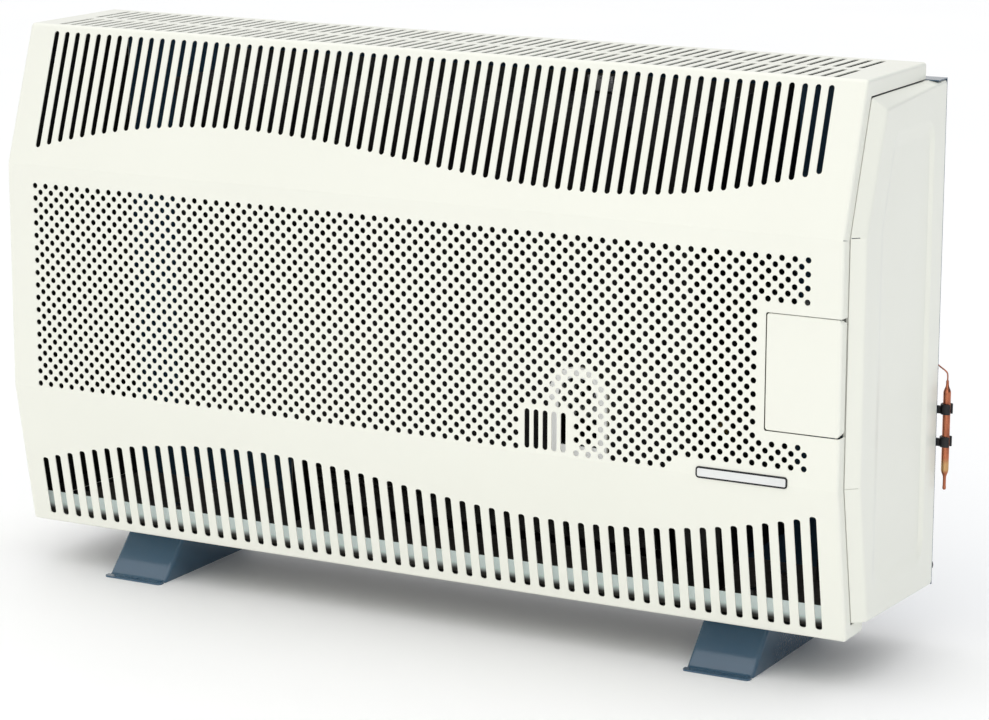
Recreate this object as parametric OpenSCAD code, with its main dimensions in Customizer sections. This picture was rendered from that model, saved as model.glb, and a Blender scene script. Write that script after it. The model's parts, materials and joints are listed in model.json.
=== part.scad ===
// Balanced-flue gas convector heater with a fan.
// The casing is built round a centre plane at x = 0, with the front face at y = 0. Its heights are taken
// from a datum that lies foot_drop above the floor, so that the feet can be made longer or shorter alone.
// placed() then moves every piece so that the origin is the bottom centre of the whole object.

/* [Casing] */
// Width of the front hood
hood_w = 998; // [990:1:1010]
// Height of the hood's top face above the datum
top_z = 614; // [612:1:618]
// Height of the fold between the upright and the upper facet
upper_fold_z = 463.5; // [461:0.5:466]
// Height of the fold between the upright and the lower facet
lower_fold_z = 211.5; // [209:0.5:212]
// Height of the hood's bottom edge above the datum
bottom_z = 49; // [47:1:50]
// Setback of the top front edge behind the front face
top_front_y = 52; // [48:1:54]
// Setback of the bottom front edge behind the front face
bottom_front_y = 31; // [28:1:34]
// Distance from the front face to the top panel's rear edge
top_rear_y = 211; // [209:1:213]
// Distance from the front face to the back panel's rear face
back_y = 238; // [237:1:242]
// Thickness of the enamelled sheet
sheet = 1; // [0.8:0.1:1.2]
// How far the side panels bulge past the hood
side_bulge = 13; // [11:1:14]

/* [Perforations and slots] */
// Spacing of the columns of perforations and of the upper slots
pitch = 14; // [13.9:0.1:14.1]
// Number of columns of perforations and of upper slots
columns = 67; // [65:2:67]
// Diameter of a perforation
hole_d = 6.4; // [6:0.1:6.8]
// Width of an upper slot
upper_slot_w = 6.2; // [5.8:0.1:6.4]
// Number of lower slots
lower_slots = 55; // [53:2:55]
// Width of a lower slot
lower_slot_w = 7.5; // [7:0.1:7.8]

/* [Control door] */
// Width of the door, which ends at the hood's right edge
door_w = 80; // [78:1:81]
// Height of the door's lower edge
door_z = 266; // [264:1:266]
// Height of the door
door_h = 118.6; // [117:0.1:119]
// Gap round the door
door_gap = 0.8; // [0.6:0.1:1]

/* [Feet] */
// Width of a foot
foot_w = 75; // [70:1:80]
// Distance of each foot's middle from the centre plane
foot_x = 360; // [350:1:370]
// How far the feet reach below the datum
foot_drop = 5; // [3:0.5:8]

/* [Flue] */
// Outer radius of the air collar
air_r = 50; // [48:1:52]
// Outer radius of the flue pipe
flue_r = 30; // [28:1:32]
// How far the flue pipe stands out behind the back panel
flue_out = 35; // [34:1:40]
// How far the air collar stands out behind the back panel
air_out = 28; // [24:1:30]

/* [Fan] */
// Radius of the fan impeller
fan_r = 30; // [28:1:31]
// Radius of the fan shaft
shaft_r = 4; // [3.5:0.1:4]

/* [Hidden] */

$fn = 48;
cream = "#f4f4ea";
blue_grey = "#4a6480";
galvanised = "#c4ccc8";
soot = "#2a2a2c";
black = "#18181a";
copper = "#b86a48";
brass = "#c8a860";
steel = "#9a9c9e";

// Casing
flange_top = 17;                       // height of the top panel's side and rear flanges
flange_side = 14;                      // depth of the hood's side flanges
lip_depth = 42;                        // depth of the bottom lip
lip_flange_h = 13;                     // height of the flanges at the bottom lip's ends
panel_gap = 0.6;                       // gap between the flat pieces of the hood
hood_x = hood_w / 2;
side_x = hood_x + side_bulge;          // outer face of the side panels
side_gap = 0.5;                        // gap between the hood's edge and the side panels
side_top_z = top_z - flange_top - 1;
side_bottom_front_z = 66;
side_bottom_rear_z = 59.5;
side_rear_drop = 1;                    // how far the side panels' top edge falls at the rear
side_rear_taper = 0.1;                 // what is left of the top chamfer at the rear
back_t = 1.2;                          // thickness of the back panel
back_x = side_x - 0.8;                 // half width of the back panel
side_rear_y = back_y - back_t - 0.3;
inner_x = hood_x - 4;                  // half width of what sits inside the casing
rail_y = 158;                          // front of the channel under the top panel
rail_size = [13, 12];
strip_t = 1.2;                         // thickness of the strips at the top panel's ends

// Perforations: row 0 is the top row, and a half row is a staggered one
rows = 17;
row_mid_z = 329;                       // height of the middle row
label_from = 55.75;                    // first column left out beside the label
label_row = 15.25;                     // first row left out beside the label
door_from = 62.25;                     // first column left out beside the door
door_rows = [3.25, 13.25];
view_cols = [43.25, 47.75];            // columns left out round the viewing slots
view_row = 12.75;
view_slot_w = 5.9;
view_slot_pitch = 10.5;
view_slot_z = [216, 258];
view_x = 174;                          // middle of the viewing slots
door_x = hood_x - door_w;              // left edge of the door's opening
door_top = door_z + door_h;

// Upper and lower slots: their inner ends follow a wave
upper_len = norm([top_front_y, top_z - upper_fold_z]);
lower_len = norm([bottom_front_y, lower_fold_z - bottom_z]);
upper_slot_top = upper_len - 7.3;
upper_wave_mid = 41.7;
lower_slot_end = lower_len - 10;
lower_wave_mid = 58.2;
lower_spacing = 17.42;
grille_front = [5, 67];                // front row of the top grille, behind the top edge
grille_back = [79, 145];
grille_shift = -4;                     // the back row's sideways offset
grille_slot_w = 5.6;

// Base and feet
base_z = 60;                           // upper face of the base tray
base_t = 1.2;
base_front_y = 40;
base_flange_h = 21;
foot_t = 2;
foot_top_z = base_z - base_t;
foot_toe_y = 22;
foot_heel_y = 210;
foot_slope_y = [33, 92];               // where the sloping face starts and ends
foot_hole_r = 3;
foot_screw_r = 3;
foot_screw_hole_r = 3.3;
foot_screw_y = [115, 190];

// Combustion chamber, burner and flue
chamber_x = [-330, 300];
chamber_y = [84, 196];
chamber_z = [190, 560];
chamber_t = 2;
window_x = 172;                        // middle of the window
window_z = 200;                        // lower edge of the window opening
window_w = 52;
window_h = 80;
frame_margin = 8;                      // how far the frame reaches out round the opening
frame_lip = 3;                         // how far it covers the opening's edge
burner_z = 228;
burner_y = 140;
burner_r = 13;
injector_r = 7;
pilot_x = 214;
flue_z = 430;
collar_t = 1.5;
fin_y = 60;
fin_count = 15;
fin_pitch = 40;
shield_y = 206;
partition_x = 352;
inlet_x = 454;
inlet_z = 105;
inlet_r = 10.5;
pipe_r = 6;
pipe_bore_r = 4.4;

// Back panel
back_z = [59, 596];
wall_hole_r = 4;
wall_hole_x = 400;
wall_hole_z = [140, 540];
screw_z = [120, 270, 420, 570];

// Controls
knob_x = 454;
knob_z = 345;
knob_r = 19;
button_x = 437;
switch_x = 467;
small_z = 293;                         // height of the piezo button and of the fan switch
housing_y = [10, 52];
housing_x = [door_x + 1, 482];
housing_z = [door_z, door_top];
housing_t = 2;
spindle_r = 4;
running = 0.05;                        // radial clearance of the running fits
valve_low = [424, 64, 305];
valve_high = [486, 128, 385];
valve_port_z = knob_z - 22;
bonnet_r = 12;
collar_r = 8;
button_r = 6;
switch_w = 22;
switch_h = 14;
rocker_w = switch_w - 6;
rocker_h = switch_h - 5;
rocker_y = housing_y[1] - 1;
rocker_swing = 14;
pivot_r = 1;
knob_front_y = 29;
knob_back_y = 45;
grip_w = 8;
grip_r = knob_r - 4;
hinge_tab = 1.2;
hinge_x = hood_x - 6;
hinge_y = 7;
pin_r = 1.5;

// Fan
fan_x = [-160, 262];
fan_y = 112;
fan_z = 122;
end_plate_x = [-174, 276];             // left faces of the housing's end plates
end_plate_t = 1.5;
blade_count = 20;
bearing_r = 8;
bearing_l = 10;
scroll_r = 38;
motor_x = 286;
motor_l = 52;
motor_r = 34;

// Sensor bulb, outside the rear right edge
bulb_x = side_x + 7;
bulb_y = back_y + 7.5;
bulb_r = 4;
bulb_z = [181.5, 267];
neck_z = 277;
tail_z = 160.8;
clip_z = [213, 248];
clip_h = 11;
clip_r = 6.6;
capillary_r = 0.8;
capillary_hole = [484, 318];           // x and z of its hole in the back panel
capillary_hole_r = 3;
gland_x = 499;
gland_z = 75;
gland_out = 16;
gland_neck_r = 6;                      // the part that goes through the back panel
gland_bore_r = 3.6;

badge_t = 1.2;
badge_size = [100, 12];
badge_x = 395;
badge_z = 214.5;

// Middle of the whole object: left side panel to bulb clip, and badge to the flue pipe's end
mid_x = (bulb_x + clip_r - side_x) / 2;
mid_y = (back_y + flue_out - badge_t) / 2;

module placed() {
  translate([-mid_x, -mid_y, foot_drop]) children();
}

// A flat outline, drawn with x across and y up the slope, on the plane that rises from low to high
// (both [y, z]). Its outer face lies on that plane and its thickness goes inwards.
module on_facet(low, high, t = sheet) {
  rise = high - low;
  translate([0, low[0], low[1]]) rotate([atan2(rise[1], rise[0]), 0, 0])
    translate([0, 0, -t]) linear_extrude(t) children();
}

// An outline drawn in the y-z plane, extruded from x0 to x1
module along_x(x0, x1) {
  translate([x0, 0, 0]) rotate([90, 0, 90]) linear_extrude(x1 - x0) children();
}

// A cylinder along y
module rod_y(x, z, y0, y1, r) {
  translate([x, y0, z]) rotate([-90, 0, 0]) cylinder(r = r, h = y1 - y0);
}

// A cylinder along x
module rod_x(y, z, x0, x1, r) {
  translate([x0, y, z]) rotate([0, 90, 0]) cylinder(r = r, h = x1 - x0);
}

// A block between two corners
module block(low, high) {
  translate(low) cube(high - low);
}

// A bent tube through a list of points
module tube(points, r) {
  for (i = [1:len(points) - 1]) hull() {
    translate(points[i - 1]) sphere(r = r, $fn = 12);
    translate(points[i]) sphere(r = r, $fn = 12);
  }
}

// Points on a smooth curve through a list of points, with steps points for each stretch
function smooth(p, steps = 4) = concat([for (i = [0:len(p) - 2]) for (k = [0:steps - 1])
  let (
    a = p[max(i - 1, 0)],
    b = p[i],
    c = p[i + 1],
    d = p[min(i + 2, len(p) - 1)],
    t = k / steps
  ) (2 * b + (c - a) * t + (2 * a - 5 * b + 4 * c - d) * t * t + (3 * b - a - 3 * c + d) * t * t * t) / 2
], [p[len(p) - 1]]);

// The outline of an upright slot with round ends, as a polygon
module slot(x, low, high, w) {
  r = w / 2;
  turn = 45;
  polygon(concat(
    [for (a = [0:turn:180]) [x + r * cos(a), high - r + r * sin(a)]],
    [for (a = [180:turn:360]) [x + r * cos(a), low + r + r * sin(a)]]));
}

// The wave: a half sine between its two turning points, and a parabola outside them
function wave(x, height, turn_x, bend) = abs(x) < turn_x
  ? -height * sin(90 * x / turn_x)
  : -sign(x) * (height - bend * pow(abs(x) - turn_x, 2));
function upper_slot_low(x) = upper_wave_mid + wave(x, 16.8, 214, 0.00062);
function lower_slot_start(x) = lower_wave_mid - wave(x, 15.5, 178, 0.00051);

function column_x(c) = (c - (columns - 1) / 2) * pitch;
function row_z(r) = row_mid_z + ((rows - 1) / 2 - r) * pitch;
function is_hole(c, r) = !(c > door_from && r > door_rows[0] && r < door_rows[1])
  && !(c > label_from && r > label_row)
  && !(c > view_cols[0] && c < view_cols[1] && r > view_row);

// The perforations between two x values
module perforations(x0, x1) {
  for (half = [0, 0.5]) for (r = [half:rows - 1]) for (c = [half:columns - 1])
    if (is_hole(c, r) && column_x(c) > x0 - hole_d / 2 && column_x(c) < x1 + hole_d / 2)
      translate([column_x(c), row_z(r)]) circle(d = hole_d);
}

// A flat piece of the upright facet, drawn with x across and y as height
module upright(x0, x1, z0, z1) {
  translate([0, sheet, 0]) rotate([90, 0, 0]) linear_extrude(sheet) difference() {
    translate([x0, z0]) square([x1 - x0, z1 - z0]);
    perforations(x0, x1);
  }
}

function hood_y(z) = z > upper_fold_z ? top_front_y * (z - upper_fold_z) / (top_z - upper_fold_z)
  : z < lower_fold_z ? bottom_front_y * (lower_fold_z - z) / (lower_fold_z - bottom_z) : 0;

module hood_top() {
  color(cream) placed() {
    difference() {
      block([-hood_x, top_front_y, top_z - sheet], [hood_x, top_rear_y, top_z]);
      translate([0, top_front_y, top_z - 2 * sheet]) linear_extrude(3 * sheet) {
        for (c = [0:columns - 1]) slot(column_x(c), grille_front[0], grille_front[1], grille_slot_w);
        for (c = [0:columns - 1])
          slot(column_x(c) + grille_shift, grille_back[0], grille_back[1], grille_slot_w);
      }
    }
  }
}

module hood_top_rim() {
  rim_low = top_z - flange_top;
  rim_high = top_z - sheet - panel_gap;
  color(cream) placed() {
    block([-hood_x, top_rear_y - sheet, rim_low], [hood_x, top_rear_y, rim_high]);
    for (side = [-1, 1]) translate([side * (hood_x - sheet / 2), 0, 0])
      block([-sheet / 2, top_front_y + 2 * sheet, rim_low], [sheet / 2, top_rear_y - 2 * sheet, rim_high]);
  }
}

module hood_upper() {
  color(cream) placed() on_facet([0, upper_fold_z], [top_front_y, top_z]) difference() {
    translate([-hood_x, panel_gap]) square([hood_w, upper_len - panel_gap - 2 * sheet]);
    for (c = [0:columns - 1])
      slot(column_x(c), upper_slot_low(column_x(c)), upper_slot_top, upper_slot_w);
  }
}

module hood_middle_left() {
  color(cream) placed() upright(-hood_x, -panel_gap / 2, lower_fold_z, upper_fold_z);
}

module hood_middle_right() {
  color(cream) placed() difference() {
    upright(panel_gap / 2, door_x - door_gap, lower_fold_z, upper_fold_z);
    for (i = [-2:2]) translate([0, 2 * sheet, 0]) rotate([90, 0, 0]) linear_extrude(3 * sheet)
      slot(view_x + i * view_slot_pitch, view_slot_z[0], view_slot_z[1], view_slot_w);
  }
}

module hood_door_surround() {
  color(cream) placed() {
    upright(door_x - door_gap + panel_gap, hood_x, lower_fold_z, door_z - door_gap);
    upright(door_x - door_gap + panel_gap, hood_x, door_top + door_gap, upper_fold_z);
  }
}

module hood_lower() {
  color(cream) placed() {
    on_facet([bottom_front_y, bottom_z], [0, lower_fold_z]) difference() {
      translate([-hood_x, 2 * sheet]) square([hood_w, lower_len - 2 * sheet - panel_gap]);
      for (i = [0:lower_slots - 1])
        let (x = (i - (lower_slots - 1) / 2) * lower_spacing)
          slot(x, lower_len - lower_slot_end, lower_len - lower_slot_start(x), lower_slot_w);
    }
  }
}

module hood_lip() {
  color(cream) placed()
    block([-hood_x, bottom_front_y, bottom_z], [hood_x, bottom_front_y + lip_depth, bottom_z + sheet]);
}

// The hood's side flange between two heights, in the y-z plane
module side_flange(z0, z1) {
  inner = sheet + panel_gap;
  folds = [for (z = [lower_fold_z, upper_fold_z]) if (z > z0 && z < z1) z];
  levels = concat([z0], folds, [z1]);
  polygon(concat(
    [for (z = levels) [hood_y(z) + inner, z]],
    [for (i = [len(levels) - 1:-1:0]) [hood_y(levels[i]) + flange_side, levels[i]]]));
}

// The short flange that stands on the bottom lip's end
module lip_flange() {
  low = bottom_z + sheet + panel_gap;
  translate([bottom_front_y + 2, low]) square([lip_depth - 2, lip_flange_h]);
}

module hood_side_left() {
  color(cream) placed() along_x(-hood_x, -hood_x + sheet) {
    side_flange(bottom_z + sheet + panel_gap, top_z - flange_top - panel_gap);
    lip_flange();
  }
}

module hood_side_right() {
  color(cream) placed() along_x(hood_x - sheet, hood_x) {
    side_flange(bottom_z + sheet + panel_gap, door_z - door_gap);
    lip_flange();
    side_flange(door_top + door_gap, top_z - flange_top - panel_gap);
  }
}

// A channel across the casing under the top panel, and a strip along each end of that panel which keeps
// light and dust out of the joint with the side panel
module hood_rail() {
  color(galvanised) placed() {
    along_x(-inner_x, inner_x) translate([rail_y, top_z - 18]) difference() {
      square(rail_size);
      translate([sheet, -sheet]) square([rail_size[0] - 2 * sheet, rail_size[1]]);
    }
    for (side = [-1, 1]) translate([side * (inner_x + 1.2), 0, 0])
      block([-strip_t / 2, top_front_y + 6, top_z - 30], [strip_t / 2, top_rear_y - 6, top_z - 4]);
  }
}

// The side panel's outline in the y-z plane, drawn in by a margin on its front and top edges, and
// by a wall's thickness on its bottom edge
module side_outline(margin, wall = 0) {
  polygon([
    [hood_y(side_top_z) + flange_side + margin, side_top_z - margin],
    [flange_side + margin, upper_fold_z],
    [flange_side + margin, lower_fold_z],
    [hood_y(side_bottom_front_z) + flange_side + margin, side_bottom_front_z + wall],
    [side_rear_y, side_bottom_rear_z + wall],
    [side_rear_y, side_top_z - side_rear_drop - margin * side_rear_taper - wall]]);
}

// A dished panel: a flat face with a chamfer down to its outline, for the side at +x
module side_panel() {
  skin = 0.01;
  difference() {
    hull() {
      along_x(side_x - skin, side_x) side_outline(side_bulge);
      along_x(hood_x + side_gap, hood_x + side_gap + skin) side_outline(0);
    }
    hull() {
      along_x(side_x - sheet - skin, side_x - sheet) side_outline(side_bulge + sheet / 2, sheet);
      along_x(hood_x - sheet, hood_x - sheet + skin) side_outline(sheet, sheet);
    }
    block([hood_x - side_bulge, side_rear_y - sheet, 0], [side_x - sheet, back_y, top_z]);
  }
}

module side_panel_left() {
  color(cream) placed() mirror([1, 0, 0]) side_panel();
}

module side_panel_right() {
  color(cream) placed() side_panel();
}

module back_panel() {
  color(blue_grey) placed() difference() {
    union() {
      block([-back_x, back_y - back_t, back_z[0]], [back_x, back_y, back_z[1]]);
      block([-back_x, top_rear_y + 2, back_z[1] - back_t], [back_x, back_y - back_t, back_z[1]]);
    }
    rod_y(0, flue_z, back_y - 5, back_y + 5, air_r + 1);
    rod_y(inlet_x, inlet_z, back_y - 5, back_y + 5, inlet_r + 1);
    rod_y(gland_x, gland_z, back_y - 5, back_y + 5, gland_neck_r + 0.3);
    rod_y(capillary_hole[0], capillary_hole[1], back_y - 5, back_y + 5, capillary_hole_r);
    for (side = [-1, 1]) for (z = wall_hole_z)
      rod_y(side * wall_hole_x, z, back_y - 5, back_y + 5, wall_hole_r);
  }
}

module base_tray() {
  color(galvanised) placed() difference() {
    union() {
      block([-inner_x, base_front_y, base_z - base_t], [inner_x, back_y - 2, base_z]);
      block([-inner_x, base_front_y, base_z], [inner_x, base_front_y + base_t, base_z + base_flange_h]);
    }
    for (side = [-1, 1]) for (y = foot_screw_y)
      translate([side * foot_x, y, base_z - 5]) cylinder(r = foot_screw_hole_r, h = 10);
  }
}

module foot(side) {
  half = foot_w / 2;
  translate([side * foot_x, 0, 0]) difference() {
    union() {
      along_x(-half, half) polygon([
        [foot_toe_y, -foot_drop], [foot_toe_y, foot_t - foot_drop],
        [foot_slope_y[0] - 1, foot_t - foot_drop], [foot_slope_y[1], foot_top_z],
        [foot_heel_y, foot_top_z], [foot_heel_y, foot_top_z - foot_t],
        [foot_slope_y[1] + 1, foot_top_z - foot_t], [foot_slope_y[0] + 1, -foot_drop]]);
      for (x = [-half, half - foot_t]) along_x(x, x + foot_t) polygon([
        [foot_slope_y[0], -foot_drop], [foot_slope_y[1], foot_top_z - foot_t / 2],
        [foot_heel_y, foot_top_z - foot_t / 2], [foot_heel_y, -foot_drop]]);
    }
    translate([0, foot_toe_y + 5, -foot_drop - 1]) cylinder(r = foot_hole_r, h = 2 * foot_t);
    for (y = foot_screw_y) translate([0, y, foot_top_z - 2 * foot_t])
      cylinder(r = foot_screw_hole_r, h = 3 * foot_t);
  }
}

module foot_left() {
  color(blue_grey) placed() foot(-1);
}

module foot_right() {
  color(blue_grey) placed() foot(1);
}

module foot_screws() {
  color(steel) placed() for (side = [-1, 1]) for (y = foot_screw_y) translate([side * foot_x, y, 0]) {
    translate([0, 0, base_z]) cylinder(r = 6, h = 4, $fn = 6);
    translate([0, 0, base_z - 8]) cylinder(r = foot_screw_r, h = 8);
  }
}

module panel_screws() {
  color(steel) placed() for (side = [-1, 1]) for (z = screw_z)
    rod_y(side * (hood_x - 12), z, back_y, back_y + 2.5, 4);
}

module heat_shield() {
  color(galvanised) placed() difference() {
    block([chamber_x[0] - 20, shield_y, 180], [chamber_x[1] + 20, shield_y + sheet, 580]);
    rod_y(0, flue_z, shield_y - 5, shield_y + 5, air_r + 1);
  }
}

module side_partition() {
  color(galvanised) placed() difference() {
    block([partition_x, 62, 100], [partition_x + sheet, 230, 585]);
    translate([partition_x - 5, burner_y, burner_z]) rotate([0, 90, 0]) cylinder(r = 8, h = 10);
  }
}

// The window's arch: a rectangle with a half round top
module arch(w, h) {
  translate([-w / 2, 0]) square([w, h - w / 2]);
  translate([0, h - w / 2]) intersection() {
    circle(d = w);
    translate([-w / 2, -0.01]) square([w, w]);
  }
}

// An arch set upright on the window's place, from y0 to y1, larger than the window by a margin
module window_arch(y0, y1, margin) {
  translate([window_x, y1, window_z - margin]) rotate([90, 0, 0]) linear_extrude(y1 - y0)
    arch(window_w + 2 * margin, window_h + 2 * margin);
}

module combustion_chamber() {
  color(soot) placed() difference() {
    block([chamber_x[0], chamber_y[0], chamber_z[0]], [chamber_x[1], chamber_y[1], chamber_z[1]]);
    block([chamber_x[0] + chamber_t, chamber_y[0] + chamber_t, chamber_z[0] + chamber_t],
      [chamber_x[1] - chamber_t, chamber_y[1] - chamber_t, chamber_z[1] - chamber_t]);
    window_arch(chamber_y[0] - 5, chamber_y[0] + 5, 0);
    rod_x(burner_y, burner_z, chamber_x[1] - 5, chamber_x[1] + 5, injector_r + 0.3);
    rod_y(0, flue_z, chamber_y[1] - 5, chamber_y[1] + 5, flue_r + 0.3);
    for (a = [0:60:300]) translate([(air_r + flue_r) / 2 * cos(a), 0, (air_r + flue_r) / 2 * sin(a)])
      rod_y(0, flue_z, chamber_y[1] - 5, chamber_y[1] + 5, 7);
  }
}

module exchanger_fins() {
  color(soot) placed() for (i = [0:fin_count - 1])
    translate([chamber_x[0] + 35 + i * fin_pitch, 0, 0])
      block([0, fin_y, 300], [1.5, chamber_y[0], 545]);
}

module window_frame() {
  color(galvanised) placed() difference() {
    window_arch(chamber_y[0] - 7, chamber_y[0] - 5, frame_margin);
    window_arch(chamber_y[0] - 8, chamber_y[0], -frame_lip);
  }
}

module window_glass() {
  color("lightblue", 0.4) placed() window_arch(chamber_y[0] - 5, chamber_y[0] - 2, 4);
}

module window_gasket() {
  color("white") placed() difference() {
    window_arch(chamber_y[0] - 2, chamber_y[0], 8);
    window_arch(chamber_y[0] - 3, chamber_y[0] + 1, -1);
  }
}

module burner() {
  color(steel) placed() difference() {
    union() {
      rod_x(burner_y, burner_z, chamber_x[0] + 20, chamber_x[1] - 25, burner_r);
      rod_x(burner_y, burner_z, chamber_x[1] - 25, chamber_x[1] - 10, 9);
    }
    rod_x(burner_y, burner_z, chamber_x[0] + 22, chamber_x[1] - 5, burner_r - 5.5);
    for (i = [0:26]) block([chamber_x[0] + 40 + i * 20, burner_y - 6, burner_z + 5],
      [chamber_x[0] + 42 + i * 20, burner_y + 6, burner_z + burner_r + 1]);
  }
}

module injector() {
  color(brass) placed() {
    rod_x(burner_y, burner_z, chamber_x[1] - 9, chamber_x[1] + 14, injector_r);
    translate([chamber_x[1] + 14, burner_y, burner_z]) rotate([0, 90, 0]) cylinder(r = 11, h = 8, $fn = 6);
  }
}

module pilot_burner() {
  color(steel) placed() {
    block([pilot_x - 22, 106, chamber_z[0] + chamber_t], [pilot_x + 22, 108, 240]);
    translate([pilot_x, 112, 196]) cylinder(r = 4, h = 48);
  }
}

module thermocouple() {
  color(copper) placed() translate([pilot_x - 14, 112, 200]) cylinder(r = 2.5, h = 46);
}

module spark_electrode() {
  color("white") placed() translate([pilot_x + 14, 112, 200]) {
    cylinder(r = 3, h = 30);
    cylinder(r = 1, h = 44);
  }
}

module air_collar() {
  color(steel) placed() difference() {
    union() {
      rod_y(0, flue_z, chamber_y[1], back_y + 2, air_r);
      rod_y(0, flue_z, back_y + 2, back_y + air_out, air_r - 1);
    }
    rod_y(0, flue_z, chamber_y[1] - 1, back_y + flue_out, air_r - 1 - collar_t);
  }
}

module flue_pipe() {
  color(steel) placed() difference() {
    union() {
      rod_y(0, flue_z, chamber_y[1] - 20, back_y + 5, flue_r);
      rod_y(0, flue_z, back_y + 5, back_y + flue_out, flue_r - 1);
    }
    rod_y(0, flue_z, chamber_y[1] - 21, back_y + flue_out + 1, flue_r - 1 - collar_t);
  }
}

module gas_valve() {
  color("#8a9096") placed() difference() {
    union() {
      block(valve_low, valve_high);
      rod_y(knob_x, knob_z, housing_y[1] + 0.5, valve_low[1], bonnet_r);
      rod_y(knob_x, valve_port_z, valve_high[1], valve_high[1] + 14, 11);
    }
    rod_y(knob_x, knob_z, housing_y[1] - 1, valve_low[1] + 8, collar_r);
    rod_y(knob_x, knob_z, valve_low[1] + 7, valve_low[1] + 40, spindle_r + running);
  }
}

module burner_pipe() {
  color("#c8c8c4") placed() tube(smooth([
    [chamber_x[1] + 27, burner_y, burner_z], [chamber_x[1] + 70, burner_y, burner_z],
    [405, burner_y, burner_z + 4], [440, burner_y + 4, burner_z + 25], [knob_x, 134, 270],
    [knob_x, 118, 285], [knob_x, 110, valve_low[2] - 4.5]]), 4);
}

module gas_inlet() {
  elbow_y = back_y - 40;
  color(brass) placed() difference() {
    union() {
      rod_y(inlet_x, inlet_z, back_y + 3, back_y + 18, inlet_r);
      rod_y(inlet_x, inlet_z, elbow_y, back_y + 3, inlet_r - 1);
      translate([inlet_x, back_y - 26, inlet_z]) rotate([-90, 0, 0]) cylinder(r = 16, h = 12, $fn = 6);
      translate([inlet_x, elbow_y, inlet_z - 10]) cylinder(r = inlet_r - 1, h = 20);
      translate([inlet_x, elbow_y, inlet_z]) cylinder(r = pipe_r, h = valve_port_z - inlet_z + pipe_r);
      rod_y(inlet_x, valve_port_z, valve_high[1] + 15, elbow_y, pipe_r);
    }
    rod_y(inlet_x, inlet_z, elbow_y, back_y + 19, pipe_bore_r);
    translate([inlet_x, elbow_y, inlet_z]) cylinder(r = pipe_bore_r, h = valve_port_z - inlet_z);
    rod_y(inlet_x, valve_port_z, valve_high[1] + 14, elbow_y, pipe_bore_r);
  }
}

module capillary() {
  color(copper) placed() tube(smooth([
    [478, valve_high[1] + 1.5, 372], [479, 145, 372], [484, 175, 360], [486, 205, 335], [484, 228, 320],
    [484, back_y + 4, 317], [494, back_y + 7, 306], [508, bulb_y, 294], [bulb_x - 2, bulb_y, 288],
    [bulb_x, bulb_y, 284], [bulb_x, bulb_y, neck_z + 1.5]]), capillary_r);
}

module sensor_bulb() {
  color(copper) placed() translate([bulb_x, bulb_y, 0]) rotate_extrude() polygon([
    [0, tail_z], [1.7, tail_z], [1.9, bulb_z[0] - 4], [bulb_r, bulb_z[0]], [bulb_r, bulb_z[1]],
    [1.7, neck_z - 5], [1.4, neck_z], [0, neck_z]]);
}

// Each clip is a split ring on a stem, with a barbed foot in the side panel's rear edge
module bulb_clips() {
  color(black) placed() for (z = clip_z) difference() {
    union() {
      translate([bulb_x, bulb_y, z - clip_h / 2]) cylinder(r = clip_r, h = clip_h);
      block([side_x - 10, back_y + 0.1, z - clip_h / 2], [bulb_x - 2, bulb_y - 2, z + clip_h / 2]);
    }
    translate([bulb_x, bulb_y, z - clip_h]) cylinder(r = bulb_r + running, h = 2 * clip_h);
    block([bulb_x, bulb_y - 2, z - clip_h], [bulb_x + 2 * clip_r, bulb_y + 2, z + clip_h]);
  }
}

module control_housing() {
  color(black) placed() difference() {
    block([housing_x[0], housing_y[0], housing_z[0]], [housing_x[1], housing_y[1], housing_z[1]]);
    block([housing_x[0] + housing_t, housing_y[0] - 1, housing_z[0] + housing_t],
      [housing_x[1] - housing_t, housing_y[1] - housing_t, housing_z[1] - housing_t]);
    rod_y(knob_x, knob_z, housing_y[1] - 5, housing_y[1] + 5, spindle_r + 4);
    rod_y(button_x, small_z, housing_y[1] - 5, housing_y[1] + 5, button_r + 0.5);
    block([switch_x - switch_w / 2, housing_y[1] - 5, small_z - switch_h / 2],
      [switch_x + switch_w / 2, housing_y[1] + 5, small_z + switch_h / 2]);
  }
}

module piezo_igniter() {
  color(black) placed() difference() {
    rod_y(button_x, small_z, housing_y[1] + 0.2, housing_y[1] + 45, 9);
    rod_y(button_x, small_z, housing_y[1] - 1, housing_y[1] + 18, button_r + running);
  }
}

module piezo_button() {
  color("#b02820") placed() rod_y(button_x, small_z, housing_y[1] - 12, housing_y[1] + 10, button_r);
}

module fan_switch() {
  color(black) placed() difference() {
    block([switch_x - switch_w / 2 + 0.3, housing_y[1] - 4, small_z - switch_h / 2 + 0.3],
      [switch_x + switch_w / 2 - 0.3, housing_y[1] + 16, small_z + switch_h / 2 - 0.3]);
    block([switch_x - switch_w / 2 + 2, housing_y[1] - 5, small_z - switch_h / 2 + 2],
      [switch_x + switch_w / 2 - 2, housing_y[1] + 8, small_z + switch_h / 2 - 2]);
    rod_x(rocker_y, small_z, switch_x - switch_w, switch_x + switch_w, pivot_r + running);
  }
}

module fan_rocker() {
  color(black) placed() {
    translate([switch_x, rocker_y, small_z]) rotate([-rocker_swing / 2, 0, 0])
      translate([-rocker_w / 2, 0, 0]) rotate([90, 0, 90]) linear_extrude(rocker_w) polygon([
        [-3.6, -rocker_h / 2 + 0.5], [-2.8, 0], [-3.6, rocker_h / 2 - 0.5], [3, rocker_h / 2 - 1.2],
        [3, -rocker_h / 2 + 1.2]]);
    rod_x(rocker_y, small_z, switch_x - switch_w / 2 + 0.5, switch_x + switch_w / 2 - 0.5, pivot_r);
  }
}

module spindle_collar() {
  color(brass) placed() difference() {
    rod_y(knob_x, knob_z, housing_y[1] + 2, housing_y[1] + 8, collar_r - running);
    rod_y(knob_x, knob_z, housing_y[1] - 1, housing_y[1] + 15, spindle_r + running);
  }
}

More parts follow.
